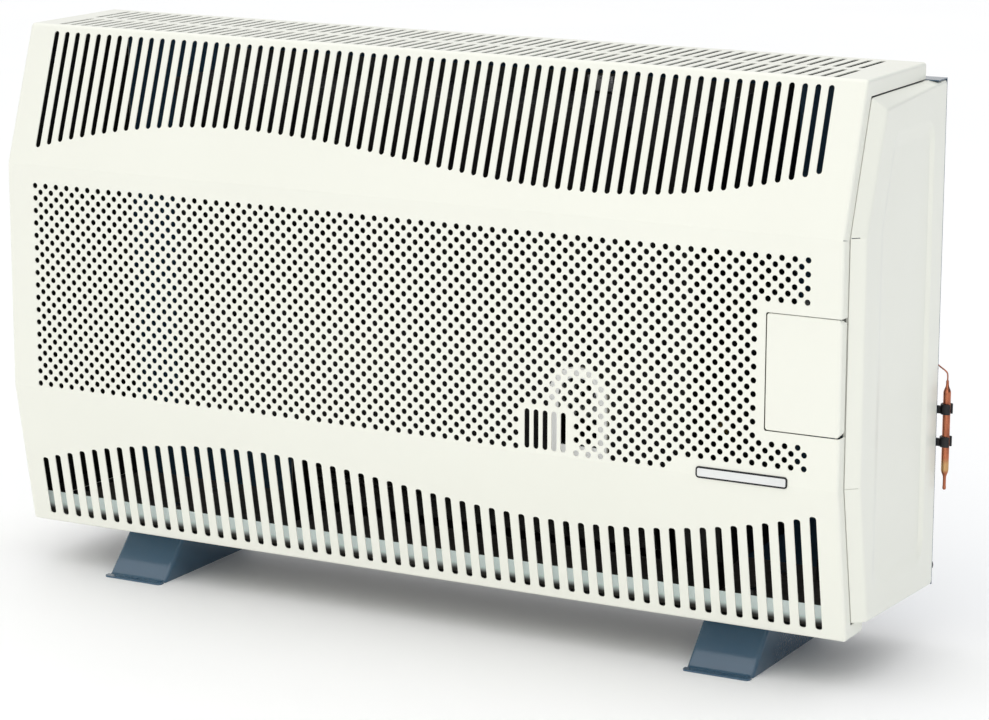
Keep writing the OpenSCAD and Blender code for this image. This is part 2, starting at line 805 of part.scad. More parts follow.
module valve_spindle() {
  color(brass) placed() rod_y(knob_x, knob_z, housing_y[1] - 14, valve_low[1] + 22, spindle_r);
}

module control_knob() {
  color("#202226") placed() difference() {
    union() {
      rod_y(knob_x, knob_z, knob_back_y - 5, knob_back_y, knob_r);
      rod_y(knob_x, knob_z, knob_front_y + 3, knob_back_y - 5, knob_r - 3);
      block([knob_x - grip_w / 2, knob_front_y, knob_z - grip_r],
        [knob_x + grip_w / 2, knob_front_y + 4, knob_z + grip_r]);
    }
    rod_y(knob_x, knob_z, housing_y[1] - 14.2, knob_back_y + 1, spindle_r + running);
  }
}

// A curved sheet: part of a ring of inner radius r and thickness t, from angle a0 to a1, h long along z
module curved_sheet(r, t, a0, a1, h) {
  rotate([0, 0, a0]) rotate_extrude(angle = a1 - a0) translate([r, 0]) square([t, h]);
}

// The fan housing: a curved back sheet, a front lip and two end plates
module fan_housing() {
  x0 = end_plate_x[0];
  x1 = end_plate_x[1];
  color(galvanised) placed() difference() {
    union() {
      translate([x0, fan_y, fan_z]) rotate([90, 0, 90]) curved_sheet(scroll_r, sheet, -100, 60, x1 - x0);
      for (x = [x0, x1]) block([x, fan_y - 46, fan_z - 44], [x + end_plate_t, fan_y + 46, fan_z + 44]);
    }
    for (x = [x0, x1]) rod_x(fan_y, fan_z, x - 2, x + 4, bearing_r + 0.1);
  }
}

module fan_bearings() {
  color(brass) placed() for (x = end_plate_x) difference() {
    rod_x(fan_y, fan_z, x + end_plate_t / 2 - bearing_l / 2, x + end_plate_t / 2 + bearing_l / 2, bearing_r);
    rod_x(fan_y, fan_z, x - bearing_l, x + bearing_l, shaft_r + running);
  }
}

module fan_shaft() {
  color(steel) placed() rod_x(fan_y, fan_z, end_plate_x[0] - 6, motor_x + 20, shaft_r);
}

module fan_impeller() {
  discs = [for (i = [0:4]) fan_x[0] + i * (fan_x[1] - fan_x[0] - 2) / 4];
  color("#30343a") placed() difference() {
    union() {
      for (x = discs) rod_x(fan_y, fan_z, x, x + 2, fan_r);
      for (a = [0:360 / blade_count:359]) translate([fan_x[0], fan_y, fan_z]) rotate([a, 0, 0])
        translate([0, fan_r - 4.5, 0]) rotate([35, 0, 0])
          translate([0, -4, -0.5]) cube([fan_x[1] - fan_x[0], 7.5, 1]);
    }
    rod_x(fan_y, fan_z, fan_x[0] - 1, fan_x[1] + 1, shaft_r);
  }
}

module fan_motor() {
  color("#33507a") placed() difference() {
    union() {
      rod_x(fan_y, fan_z, motor_x, motor_x + motor_l, motor_r);
      block([motor_x + 10, fan_y - 20, base_z], [motor_x + 40, fan_y + 20, fan_z - 25]);
    }
    rod_x(fan_y, fan_z, motor_x - 1, motor_x + 30, shaft_r + running);
  }
}

module fan_thermostat() {
  color(steel) placed() {
    block([120, shield_y - 6, chamber_z[1] + 2], [150, shield_y, chamber_z[1] + 18]);
    rod_y(135, chamber_z[1] + 10, shield_y - 12, shield_y - 6, 7);
  }
}

module terminal_block() {
  color("#e8e6dc") placed() for (i = [0:4])
    block([400 + i * 12, 190, base_z], [410 + i * 12, 214, base_z + 22]);
}

module cable_gland() {
  color(black) placed() difference() {
    union() {
      rod_y(gland_x, gland_z, back_y - 8, back_y + 6, gland_neck_r);
      rod_y(gland_x, gland_z, back_y + 0.1, back_y + 5, 9);
      rod_y(gland_x, gland_z, back_y + 5, back_y + gland_out, 7.5);
    }
    rod_y(gland_x, gland_z, back_y - 10, back_y + gland_out + 1, gland_bore_r);
  }
}

module door_hinge_pins() {
  color(steel) placed() {
    for (z = [door_z - 6, door_top - 6]) translate([hinge_x, hinge_y, z]) cylinder(r = pin_r, h = 12);
    block([hinge_x - 6, sheet + 0.3, door_z - 8], [hinge_x + 4, hinge_y + 4, door_z - 6]);
    block([hinge_x - 6, sheet + 0.3, door_top + 6], [hinge_x + 4, hinge_y + 4, door_top + 8]);
  }
}

module door_catch() {
  color(black) placed() block([door_x - 9, sheet + 0.3, door_z + 45], [door_x - 1.2, 12, door_z + 73]);
}

module control_door() {
  x0 = door_x;
  x1 = hood_x;
  color(cream) placed() difference() {
    union() {
      block([x0, 0, door_z], [x1, sheet, door_top]);
      block([x1 - sheet, sheet, door_z], [x1, flange_side - 1.5, door_top]);
      block([x0, sheet, door_z], [x0 + sheet, 8, door_top]);
      for (z = [door_z, door_top - hinge_tab])
        block([x0 + sheet, sheet, z], [x1 - sheet, hinge_y + 2.5, z + hinge_tab]);
    }
    translate([hinge_x, hinge_y, door_z - 10]) cylinder(r = pin_r + running, h = door_h + 20);
  }
}

module badge() {
  color("#3c4046") placed() translate([badge_x, -badge_t / 2, badge_z])
    cube([badge_size[0], badge_t, badge_size[1]], center = true);
}

hood_top();
hood_top_rim();
hood_upper();
hood_middle_left();
hood_middle_right();
hood_door_surround();
hood_lower();
hood_lip();
hood_side_left();
hood_side_right();
hood_rail();
side_panel_left();
side_panel_right();
back_panel();
base_tray();
foot_left();
foot_right();
foot_screws();
panel_screws();
heat_shield();
side_partition();
combustion_chamber();
exchanger_fins();
window_frame();
window_glass();
window_gasket();
burner();
injector();
pilot_burner();
thermocouple();
spark_electrode();
air_collar();
flue_pipe();
gas_valve();
burner_pipe();
gas_inlet();
capillary();
sensor_bulb();
bulb_clips();
control_housing();
piezo_igniter();
fan_switch();
fan_housing();
fan_bearings();
fan_motor();
fan_thermostat();
terminal_block();
cable_gland();
door_hinge_pins();
door_catch();
badge();
control_door();
spindle_collar();
valve_spindle();
control_knob();
piezo_button();
fan_rocker();
fan_impeller();
fan_shaft();
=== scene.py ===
"""Looks of the flued fan convector heater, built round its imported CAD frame.

Lengths are in millimetres, measured as in the part's source: x from the casing's centre plane,
y from its front face and z from a datum 5 mm above the floor. placed() turns them into the
frame's metres. Materials, lights and the camera's lens are in Blender's own units.
"""

import json
import math

import bpy
import numpy as np
from mathutils import Matrix, Vector
from mathutils.geometry import delaunay_2d_cdt


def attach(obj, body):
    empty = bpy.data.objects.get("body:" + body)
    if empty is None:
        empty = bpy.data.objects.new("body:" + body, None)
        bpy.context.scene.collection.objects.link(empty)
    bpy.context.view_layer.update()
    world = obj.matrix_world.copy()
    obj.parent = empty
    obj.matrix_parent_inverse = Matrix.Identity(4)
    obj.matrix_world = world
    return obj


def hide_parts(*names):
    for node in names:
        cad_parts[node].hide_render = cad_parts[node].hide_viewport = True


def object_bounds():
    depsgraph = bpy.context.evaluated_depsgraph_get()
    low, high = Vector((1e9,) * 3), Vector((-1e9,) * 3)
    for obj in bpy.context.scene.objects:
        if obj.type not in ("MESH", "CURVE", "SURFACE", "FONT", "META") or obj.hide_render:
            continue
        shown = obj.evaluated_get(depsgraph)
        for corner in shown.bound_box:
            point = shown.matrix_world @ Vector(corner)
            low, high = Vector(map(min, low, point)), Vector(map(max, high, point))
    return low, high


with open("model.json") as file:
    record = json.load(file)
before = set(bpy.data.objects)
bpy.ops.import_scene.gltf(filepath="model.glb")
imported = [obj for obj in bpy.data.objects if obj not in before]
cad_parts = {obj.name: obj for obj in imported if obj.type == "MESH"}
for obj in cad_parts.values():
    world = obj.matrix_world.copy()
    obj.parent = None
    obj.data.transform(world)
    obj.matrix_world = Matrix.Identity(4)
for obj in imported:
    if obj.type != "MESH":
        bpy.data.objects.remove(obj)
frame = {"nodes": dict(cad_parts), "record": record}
cad_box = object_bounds()
cad = frame["nodes"]

SIDE_X = 512.0  # half the width over the side panels
BADGE_T = 1.2  # the badge is the foremost thing
FLOOR_Z = -5.0
CORNER = np.array([-SIDE_X, -BADGE_T, FLOOR_Z])  # the low corner of the CAD's box
SHARP_ANGLE = 35.0  # degrees; an edge that turns more stays sharp


def placed(points):
    """Points in millimetres, taken into the frame's metres."""
    return (np.asarray(points, float) - CORNER) / 1000 + np.array(cad_box[0])


# ---------------------------------------------------------------- meshes


def build_mesh(name, points, faces, material, body, slot, loop_normals=None, back=None):
    """A mesh object from points in millimetres, riding on a body.

    back is (material, first face, end) for faces with another finish.
    """
    mesh = bpy.data.meshes.new(name)
    mesh.from_pydata([tuple(p) for p in placed(points)], [], [list(f) for f in faces])
    mesh.validate(clean_customdata=False)
    mesh.materials.append(material)
    if back:
        mesh.materials.append(back[0])
        index = np.zeros(len(mesh.polygons), np.int32)
        index[back[1] : back[2]] = 1
        mesh.polygons.foreach_set("material_index", index)
    mesh.polygons.foreach_set("use_smooth", np.ones(len(mesh.polygons), bool))
    if loop_normals is not None and len(loop_normals) == len(mesh.loops):
        mesh.normals_split_custom_set([tuple(n) for n in loop_normals])
    else:
        mesh.set_sharp_from_angle(angle=math.radians(SHARP_ANGLE))
    piece = bpy.data.objects.new(name, mesh)
    bpy.context.scene.collection.objects.link(piece)
    if loop_normals is None:
        weighted = piece.modifiers.new("weighted", "WEIGHTED_NORMAL")
        weighted.keep_sharp = True
    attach(piece, body)
    return piece


class Skin:
    """One side of a sheet: points with the outward normal at each, and faces between them.

    A point whose normal is left out gets it from the faces round it.
    """

    def __init__(self):
        self.points, self.normals, self.faces, self.seen = [], [], [], {}

    def point(self, p, n=(0, 0, 0)):
        key = tuple(round(float(c), 3) for c in p)
        if key not in self.seen:
            self.seen[key] = len(self.points)
            self.points.append([float(c) for c in p])
            self.normals.append([float(c) for c in n])
        return self.seen[key]

    def face(self, *ids):
        """Adds a face, without corners that fall together."""
        kept = []
        for i in ids:
            if i not in kept:
                kept.append(i)
        if len(kept) > 2:
            self.faces.append(kept)

    def join(self, rings):
        """Quads between closed rings of points that follow each other."""
        count = len(rings[0])
        for a, b in zip(rings, rings[1:]):
            for k in range(count):
                self.face(a[k], a[(k + 1) % count], b[(k + 1) % count], b[k])

    def flat(self, to_space, out, outline, holes, convex=True):
        """A flat sheet with holes: loops of (u, v), taken into space by to_space.

        out is its outward normal. An outline that isn't convex has convex=False.
        """
        loops = [outline] + list(holes)
        flat_points, edges, owner = [], [], []
        for i, loop in enumerate(loops):
            first = len(flat_points)
            flat_points += [Vector((float(u), float(v))) for u, v in loop]
            edges += [(first + k, first + (k + 1) % len(loop)) for k in range(len(loop))]
            owner += [i] * len(loop)
        got = delaunay_2d_cdt(flat_points, edges, [], 0, 1e-6, True)
        where, triangles, origins = got[0], got[2], got[3]
        loop_of = [owner[o[0]] if o else -1 for o in origins]
        ids = [self.point(to_space(*p), out) for p in where]
        for t in triangles:
            a, b, c = (loop_of[k] for k in t)
            if a == b == c and a > 0:
                continue
            if not convex and a == b == c == 0:
                middle = sum((where[k] for k in t), Vector((0, 0))) / 3
                if not inside(middle, outline):
                    continue
            self.face(*(ids[k] for k in t))

    def _arrays(self, reference):
        """Points, normals and faces. Faces face outwards: each by its own normals where all are
        given, or all together where a reference direction is given, because they are wound alike.
        """
        points = np.array(self.points)
        normals = np.array(self.normals)
        if reference is not None:
            known = np.linalg.norm(normals, axis=1, keepdims=True) > 0
            normals = np.where(known, normals, area_normals(points, self.faces, reference))
            first = self.faces[0]
            turned = newell(points[first]) @ normals[first].sum(0) < 0
            return points, normals, [f[::-1] if turned else f for f in self.faces]
        faces = []
        for f in self.faces:
            n = newell(points[f])
            faces.append(f if n @ normals[f].sum(0) >= 0 else f[::-1])
        return points, normals, faces

    def solid(self, thickness, reference=None):
        """Points, faces and loop normals of the sheet with its thickness behind the skin."""
        points, normals, faces = self._arrays(reference)
        count = len(points)
        back = points - normals * thickness
        all_points = np.vstack([points, back])
        # A dictionary keeps the edges in order, as a set would not
        edges = {(a, b): True for f in faces for a, b in zip(f, f[1:] + f[:1])}
        walls = [[b, a, a + count, b + count] for a, b in edges if (b, a) not in edges]
        all_faces = faces + [[i + count for i in f[::-1]] for f in faces] + walls
        loops = [normals[i] for f in faces for i in f]
        loops += [-normals[i] for f in faces for i in f[::-1]]
        for w in walls:
            n = newell(all_points[w])
            n = n / max(np.linalg.norm(n), 1e-9)
            loops += [n] * 4
        return all_points, all_faces, loops


def newell(p):
    """A polygon's normal, as long as twice its area."""
    q = np.roll(p, -1, axis=0)
    return np.cross(p, q).sum(0)


def area_normals(points, faces, reference):
    """Area-weighted normals for faces that are wound alike, turned to reference's side."""
    normals = np.zeros_like(points)
    for f in faces:
        normals[f] += newell(points[f])
    if (normals @ np.array(reference, float)).sum() < 0:
        normals = -normals
    return normals / np.maximum(np.linalg.norm(normals, axis=1, keepdims=True), 1e-9)


def inside(point, loop):
    """Whether a flat point lies within a loop."""
    x, y = point
    odd = False
    for (x0, y0), (x1, y1) in zip(loop, loop[1:] + loop[:1]):
        if (y0 > y) != (y1 > y) and x < (x1 - x0) * (y - y0) / (y1 - y0) + x0:
            odd = not odd
    return odd


def merge(*parts):
    """Joins (points, faces, loop normals) solids into one."""
    points, faces, loops = [], [], []
    start = 0
    for p, f, n in parts:
        points.append(np.asarray(p))
        faces += [[i + start for i in face] for face in f]
        loops += list(n)
        start += len(p)
    return np.vstack(points), faces, loops


def swing(start, end, turn, angle):
    """A vector turned by angle from start towards end, which is turned by turn."""
    return (math.sin(turn - angle) * start + math.sin(angle) * end) / math.sin(turn)


def rounded(polygon, radii, steps):
    """The closed polygon with each corner replaced by an arc of steps + 1 points."""
    out = []
    n = len(polygon)
    for i in range(n):
        p = np.array(polygon[i], float)
        a = np.array(polygon[i - 1], float) - p
        b = np.array(polygon[(i + 1) % n], float) - p
        a, b = a / np.linalg.norm(a), b / np.linalg.norm(b)
        half = math.acos(max(-1, min(1, a @ b))) / 2
        reach = radii[i] / math.tan(half)
        centre = p + (a + b) / np.linalg.norm(a + b) * radii[i] / math.sin(half)
        start, end = p + a * reach - centre, p + b * reach - centre
        turn = math.pi - 2 * half
        for k in range(steps[i] + 1):
            out.append(tuple(centre + swing(start, end, turn, turn * k / steps[i])))
    return out


def circle(u, v, r, sides):
    """A regular polygon round a circle's centre, with a flat side towards +u."""
    angles = [2 * math.pi * (k + 0.5) / sides for k in range(sides)]
    return [(u + r * math.cos(a), v + r * math.sin(a)) for a in angles]


SLOT_STEPS = 4
FULL_ROUND = 0.999  # a slot's end is just short of a half circle


def slot_loop(u, low, high, width, corner=None):
    """An upright slot from low to high, with round ends, or rounded corners of radius corner."""
    h = width / 2
    r = corner or h * FULL_ROUND
    box = [(u - h, low), (u + h, low), (u + h, high), (u - h, high)]
    return rounded(box, [r] * 4, [SLOT_STEPS] * 4)


def loft(rings, count):
    """Quads between rings of count points that follow each other."""
    faces = []
    for j in range(rings - 1):
        for k in range(count):
            a, b = j * count + k, j * count + (k + 1) % count
            faces.append([a, b, b + count, a + count])
    return faces


def ends(rings, count):
    """The two faces that close a loft."""
    last = (rings - 1) * count
    return list(range(count))[::-1], [last + k for k in range(count)]


LATHE_SIDES = 40


def lathe(profile, centre):
    """An upright solid of revolution; profile is a list of (radius, height)."""
    points = []
    for r, h in profile:
        for k in range(LATHE_SIDES):
            a = 2 * math.pi * k / LATHE_SIDES
            points.append((r * math.cos(a), r * math.sin(a), h))
    faces = loft(len(profile), LATHE_SIDES) + list(ends(len(profile), LATHE_SIDES))
    return np.array(points) + np.array(centre), faces


# ---------------------------------------------------------------- materials


class Nodes:
    """A small helper for node trees."""

    def __init__(self, name):
        self.material = bpy.data.materials.new(name)
        self.material.use_nodes = True
        self.tree = self.material.node_tree
        self.shader = next(n for n in self.tree.nodes if n.type == "BSDF_PRINCIPLED")
        self.where = self.add("ShaderNodeTexCoord").outputs["Object"]

    def add(self, kind, links=None, **values):
        node = self.tree.nodes.new(kind)
        for key, value in values.items():
            setattr(node, key, value)
        for key, value in (links or {}).items():
            self.put(node.inputs[key], value)
        return node

    def put(self, socket, value):
        if isinstance(value, bpy.types.NodeSocket):
            self.tree.links.new(value, socket)
        else:
            socket.default_value = value

    def noise(self, scale, detail=2.0, rough=0.5, stretch=None):
        where = self.where
        if stretch:
            where = self.add(
                "ShaderNodeMapping", {"Vector": self.where, "Scale": stretch}
            ).outputs[0]
        node = self.add(
            "ShaderNodeTexNoise",
            {"Vector": where, "Scale": scale, "Detail": detail, "Roughness": rough},
        )
        return node.outputs["Fac"]

    def ramp(self, value, low, high, to_low=0.0, to_high=1.0):
        return self.add(
            "ShaderNodeMapRange",
            {
                "Value": value,
                "From Min": low,
                "From Max": high,
                "To Min": to_low,
                "To Max": to_high,
            },
            interpolation_type="SMOOTHSTEP",
        ).outputs["Result"]

    def mix(self, factor, a, b):
        node = self.add("ShaderNodeMix", data_type="RGBA")
        colours = [s for s in node.inputs if s.type == "RGBA"]
        self.put(node.inputs["Factor"], factor)
        self.put(colours[0], a)
        self.put(colours[1], b)
        return next(s for s in node.outputs if s.type == "RGBA")

    def math(self, operation, a, b=0.0):
        node = self.add("ShaderNodeMath", operation=operation)
        self.put(node.inputs[0], a)
        self.put(node.inputs[1], b)
        return node.outputs[0]

    def bump(self, height, distance):
        links = {"Height": height, "Distance": distance, "Strength": 1.0}
        return self.add("ShaderNodeBump", links).outputs["Normal"]

    def height(self):
        """Height above the floor, in metres."""
        return self.add("ShaderNodeSeparateXYZ", {"Vector": self.where}).outputs["Z"]

    def finish(self, **sockets):
        for key, value in sockets.items():
            self.put(self.shader.inputs[key.replace("_", " ")], value)
        return self.material


def colour(r, g, b):
    return (r, g, b, 1.0)


def enamel(name, base, shade, rough, coat, peel=0.00002, glow=0.0):
    """Stoved enamel: fine orange peel and a faint unevenness of colour and gloss."""
    n = Nodes(name)
    broad = n.ramp(n.noise(4.0, 2.0), 0.3, 0.7)
    return n.finish(
        Base_Color=n.mix(broad, colour(*base), colour(*shade)),
        Roughness=n.ramp(n.noise(24.0, 3.0), 0.3, 0.75, rough - 0.03, rough + 0.05),
        Normal=n.bump(n.noise(330.0, 1.0), peel),
        # emission at strength glow is a painted glow, used for the viewing window's frame
        Emission_Color=colour(*base),
        Emission_Strength=glow,
        Coat_Weight=coat,
        Coat_Roughness=0.1,
        IOR=1.5,
    )


def galvanised(name, light, dark, rough):
    """Zinc-coated sheet: crystals of different brightness, with a dull bloom."""
    n = Nodes(name)
    cells = n.add(
        "ShaderNodeTexVoronoi", {"Vector": n.where, "Scale": 75.0}, feature="F1"
    )
    flake = n.add("ShaderNodeSeparateColor", {"Color": cells.outputs["Color"]}).outputs[0]
    bloom = n.ramp(n.noise(7.0, 4.0, 0.6), 0.35, 0.7)
    tone = n.math("ADD", n.math("MULTIPLY", flake, 0.55), n.math("MULTIPLY", bloom, 0.45))
    return n.finish(
        Base_Color=n.mix(tone, colour(*dark), colour(*light)),
        Metallic=0.8,
        Roughness=n.ramp(flake, 0.0, 1.0, rough - 0.08, rough + 0.1),
        Normal=n.bump(n.noise(300.0, 2.0), 0.00004),
    )


def base_zinc_with_painted_light(name):
    """The base tray: zinc along the top of its front strip, darker towards its foot, which is
    painted shade, and darker on upward faces. A weak emission, a painted glow, lets the strip read
    through the slots.
    """
    n = Nodes(name)
    facing = n.add("ShaderNodeNewGeometry").outputs["Normal"]
    upward = n.add("ShaderNodeSeparateXYZ", {"Vector": facing}).outputs["Z"]
    uneven = n.math("ADD", n.height(), n.math("MULTIPLY", n.noise(30.0, 3.0), 0.006))
    # painted shade: the strip darkens towards its foot, where shade falls
    foot = n.ramp(uneven, 0.069, 0.078, 1.0, 0.0)
    # the dark tone on upward faces, and the painted shade towards the foot
    low_shade_and_upward_dark = n.math("MAXIMUM", n.ramp(upward, 0.2, 0.7), foot)
    bloom = n.ramp(n.noise(9.0, 4.0, 0.6), 0.3, 0.7)
    zinc = n.mix(bloom, colour(0.84, 0.95, 0.91), colour(0.74, 0.87, 0.82))
    dull = n.mix(bloom, colour(0.05, 0.047, 0.04), colour(0.03, 0.028, 0.024))
    tone = n.mix(low_shade_and_upward_dark, zinc, dull)
    # the emission is a painted glow, so the strip reads through the slots
    return n.finish(
        Base_Color=tone,
        Emission_Color=tone,
        Emission_Strength=0.2,
        Roughness=n.ramp(n.noise(60.0, 3.0), 0.3, 0.7, 0.4, 0.55),
        Normal=n.bump(n.noise(300.0, 2.0), 0.00004),
    )


def plain_metal(
    name, light, dark, rough, grain=(1.0, 1.0, 30.0), grain_scale=40.0, grime=0.3
):
    """Drawn, rolled or turned metal: streaks one way, and a dull film here and there."""
    n = Nodes(name)
    streak = n.noise(grain_scale, 3.0, 0.6, grain)
    film = n.ramp(n.noise(18.0, 4.0, 0.6), 0.4, 0.75, 0.0, grime)
    deep = [c * 0.86 for c in light]
    tone = n.mix(n.ramp(streak, 0.3, 0.7), colour(*light), colour(*deep))
    return n.finish(
        Base_Color=n.mix(film, tone, colour(*dark)),
        Metallic=1.0,
        Roughness=n.ramp(streak, 0.25, 0.75, rough - 0.06, rough + 0.12),
        Normal=n.bump(streak, 0.00003),
    )


def plastic(name, base, worn, rough):
    """Moulded plastic: fine grain and slight dulling."""
    n = Nodes(name)
    dull = n.ramp(n.noise(30.0, 4.0, 0.6), 0.4, 0.8)
    return n.finish(
        Base_Color=n.mix(dull, colour(*base), colour(*worn)),
        Roughness=n.ramp(n.noise(110.0, 3.0), 0.3, 0.7, rough - 0.05, rough + 0.08),
        Normal=n.bump(n.noise(900.0, 2.0), 0.00005),
        Specular_IOR_Level=0.3,
    )


def heat_black(name):
    """Matt heat-resistant coating with a brownish bloom where it has been hot."""
    n = Nodes(name)
    hot = n.ramp(n.noise(11.0, 5.0, 0.65), 0.45, 0.75)
    return n.finish(
        Base_Color=n.mix(hot, colour(0.008, 0.008, 0.009), colour(0.02, 0.016, 0.014)),
        Roughness=n.ramp(n.noise(90.0, 3.0), 0.3, 0.7, 0.6, 0.8),
        Normal=n.bump(n.noise(600.0, 3.0), 0.00008),
    )


def copper(name, low, high):
    """Drawn copper with a brown film, and a brassy stain between two heights in metres."""
    n = Nodes(name)
    film = n.ramp(n.noise(70.0, 4.0, 0.65), 0.35, 0.75)
    base = n.mix(film, colour(0.50, 0.17, 0.09), colour(0.24, 0.075, 0.045))
    uneven = n.math("ADD", n.height(), n.math("MULTIPLY", n.noise(260.0, 2.0), 0.004))
    up = n.ramp(uneven, low - 0.002, low + 0.004)
    down = n.ramp(uneven, high - 0.002, high + 0.005, 1.0, 0.0)
    base = n.mix(n.math("MULTIPLY", up, down), base, colour(0.55, 0.33, 0.15))
    streak = n.noise(60.0, 3.0, 0.6, (1.0, 1.0, 0.1))
    return n.finish(
        Base_Color=base,
        Metallic=1.0,
        Roughness=n.ramp(streak, 0.3, 0.7, 0.2, 0.36),
        Normal=n.bump(n.noise(500.0, 2.0), 0.00003),
    )


def woven(name):
    """Mineral fibre gasket: a plain weave."""
    n = Nodes(name)
    waves = [
        n.add(
            "ShaderNodeTexWave",
            {"Vector": n.where, "Scale": 330.0, "Distortion": 1.0},
            wave_type="BANDS",
            bands_direction=direction,
        ).outputs["Fac"]
        for direction in ("X", "Z")
    ]
    weave = n.math("MULTIPLY", waves[0], waves[1])
    return n.finish(
        Base_Color=n.mix(weave, colour(0.42, 0.40, 0.34), colour(0.70, 0.68, 0.60)),
        Roughness=0.9,
        Normal=n.bump(weave, 0.0004),
    )


def window_glass(name):
    """Clear glass with a few smears."""
    n = Nodes(name)
    smear = n.noise(40.0, 3.0)
    return n.finish(
        Base_Color=colour(0.93, 0.97, 0.95),
        Roughness=n.ramp(smear, 0.3, 0.8, 0.02, 0.12),
        Transmission_Weight=1.0,
        IOR=1.5,
    )


def ceramic(name):
    """Glazed ceramic, a little stained."""
    n = Nodes(name)
    stain = n.ramp(n.noise(45.0, 4.0), 0.45, 0.8)
    return n.finish(
        Base_Color=n.mix(stain, colour(0.82, 0.80, 0.74), colour(0.60, 0.55, 0.46)),
        Roughness=0.22,
        Coat_Weight=0.6,
        Normal=n.bump(n.noise(250.0, 2.0), 0.00003),
    )


CREAM = enamel("cream_enamel", (0.87, 0.875, 0.79), (0.855, 0.86, 0.775), 0.32, 0.2)
BLUE = enamel("blue_enamel", (0.048, 0.105, 0.165), (0.040, 0.090, 0.145), 0.14, 0.5, 0.00003)
# The dark coat inside the hood and the dark zinc inside the casing are near-black partly as the
# parts' own finish and partly as painted shade behind the slots
INNER_COAT_SHADE = plastic("inner_coat_and_painted_shade", (0.018, 0.018, 0.016), (0.03, 0.028, 0.024), 0.6)
DARK_ZINC_SHADE = plain_metal(
    "dark_zinc_and_painted_shade", (0.10, 0.10, 0.095), (0.03, 0.028, 0.025), 0.5, (1, 1, 1), 60.0, 0.8
)
SLOTS = {
    "cream_enamel": CREAM,
    "blue_enamel": BLUE,
    "galvanised": galvanised("galvanised", (0.62, 0.68, 0.65), (0.38, 0.42, 0.41), 0.42),
    "chamber_black": heat_black("chamber_black"),
    "bright_steel": plain_metal("bright_steel", (0.58, 0.58, 0.59), (0.22, 0.21, 0.20), 0.3),
    "valve_aluminium": plain_metal(
        "valve_aluminium", (0.60, 0.61, 0.62), (0.30, 0.30, 0.31), 0.48, (1, 1, 1), 500.0
    ),
    "brass": plain_metal("brass", (0.62, 0.45, 0.19), (0.26, 0.17, 0.08), 0.28),
    "copper_tube": copper("copper_tube", 0.187, 0.198),
    "black_plastic": plastic("black_plastic", (0.010, 0.010, 0.012), (0.022, 0.022, 0.024), 0.42),
    "red_plastic": plastic("red_plastic", (0.42, 0.022, 0.018), (0.33, 0.03, 0.025), 0.25),
    "glass": window_glass("glass"),
    "gasket": woven("gasket"),
    "white_ceramic": ceramic("white_ceramic"),
}
# What sits behind the slots is near-black, partly its own dark finish and partly painted shade.
# The viewing window's frame is light, and a weak glow, painted light, lets it read through the
# holes.
OWN = {
    "heat_shield": DARK_ZINC_SHADE,
    "side_partition": DARK_ZINC_SHADE,
    "hood_rail": DARK_ZINC_SHADE,
    "fan_housing": DARK_ZINC_SHADE,
    "fan_impeller": INNER_COAT_SHADE,
    "fan_motor": INNER_COAT_SHADE,
    "base_tray": base_zinc_with_painted_light("base_zinc_with_painted_light"),
    # the frame's glow is painted light, so it reads through the holes
    "window_frame": enamel(
        "window_white_painted_glow", (0.93, 0.94, 0.91), (0.88, 0.89, 0.86), 0.4, 0.1, glow=0.42
    ),
}
for part in frame["record"]["subparts"]:
    mesh = cad[part["node"]].data
    mesh.materials.clear()
    mesh.materials.append(OWN.get(part["node"], SLOTS[part["material_slot"]]))


# ---------------------------------------------------------------- the hood

HOOD_X = 499.0
BEND = 3.5  # radius of the hood's side bends
BEND_STEPS = 5
FLAT_X = HOOD_X - BEND
SHEET = 1.0
TOP_Y, TOP_Z = 52, 614  # the fold between the top and the upper facet
BOTTOM_Y, BOTTOM_Z = 31, 49  # the fold between the lower facet and the lip
REAR_FOLD_Y = 211
UPPER_FOLD, LOWER_FOLD = 463.5, 211.5
# The hood's outline from its rear flange over the top and down the front to its lip: (y, z)
CORNERS = np.array(
    [
        (REAR_FOLD_Y, 597.0), (REAR_FOLD_Y, TOP_Z), (TOP_Y, TOP_Z), (0.0, UPPER_FOLD),
        (0.0, LOWER_FOLD), (BOTTOM_Y, BOTTOM_Z), (73.0, BOTTOM_Z),
    ]
)
MIDDLE_FACET = 3  # the facet from CORNERS[3] to CORNERS[4], and the fold above it
FOLD_R = [0, 3, 5, 8, 8, 3.5, 0]
FOLD_STEPS = 6
FLANGE = [0, 17, 14, 14, 14, 15]  # depth of the side flange along each facet

# The perforations. A slot's start and end are its distances from the facet's folds, and a wave is
# (height, where its sine turns into a parabola, how fast that bends)
PITCH = 14.0
COLUMNS, ROWS = 67, 17
ROW_MID_Z = 329.0
HOLE_R, HOLE_SIDES = 3.2, 12
GRILLE_SLOT_W = 5.6
GRILLE_ROWS = ((57, 119, 0), (131, 197, 4))  # the top's slots: front end, rear end, shift
UPPER_SLOT_W, UPPER_START, UPPER_END = 6.2, 7.3, 41.7
UPPER_WAVE = (16.8, 214, 0.00062)
VIEW_SLOT_W, VIEW_SLOTS = 5.9, 5
VIEW_X, VIEW_PITCH, VIEW_Z = 174, 10.5, (216, 258)
LOWER_SLOT_W, LOWER_CORNER, LOWER_START, LOWER_END = 7.5, 2.8, 58.2, 10
LOWER_WAVE = (15.5, 178, 0.00051)
LOWER_SLOTS, LOWER_PITCH = 55, 17.42

DOOR = (419.0, 499.0, 266.0, 384.6)  # x and z limits
DOOR_GAP = 0.8
NOTCH = 1.5  # chamfer at the inner corners of the door's cut-out


def wave(x, height, turn_x, bend):
    """How far the slots' inner ends stand off: half a sine wave, then a parabola on each side."""
    if abs(x) < turn_x:
        return -height * math.sin(math.radians(90 * x / turn_x))
    return -math.copysign(1, x) * (height - bend * (abs(x) - turn_x) ** 2)


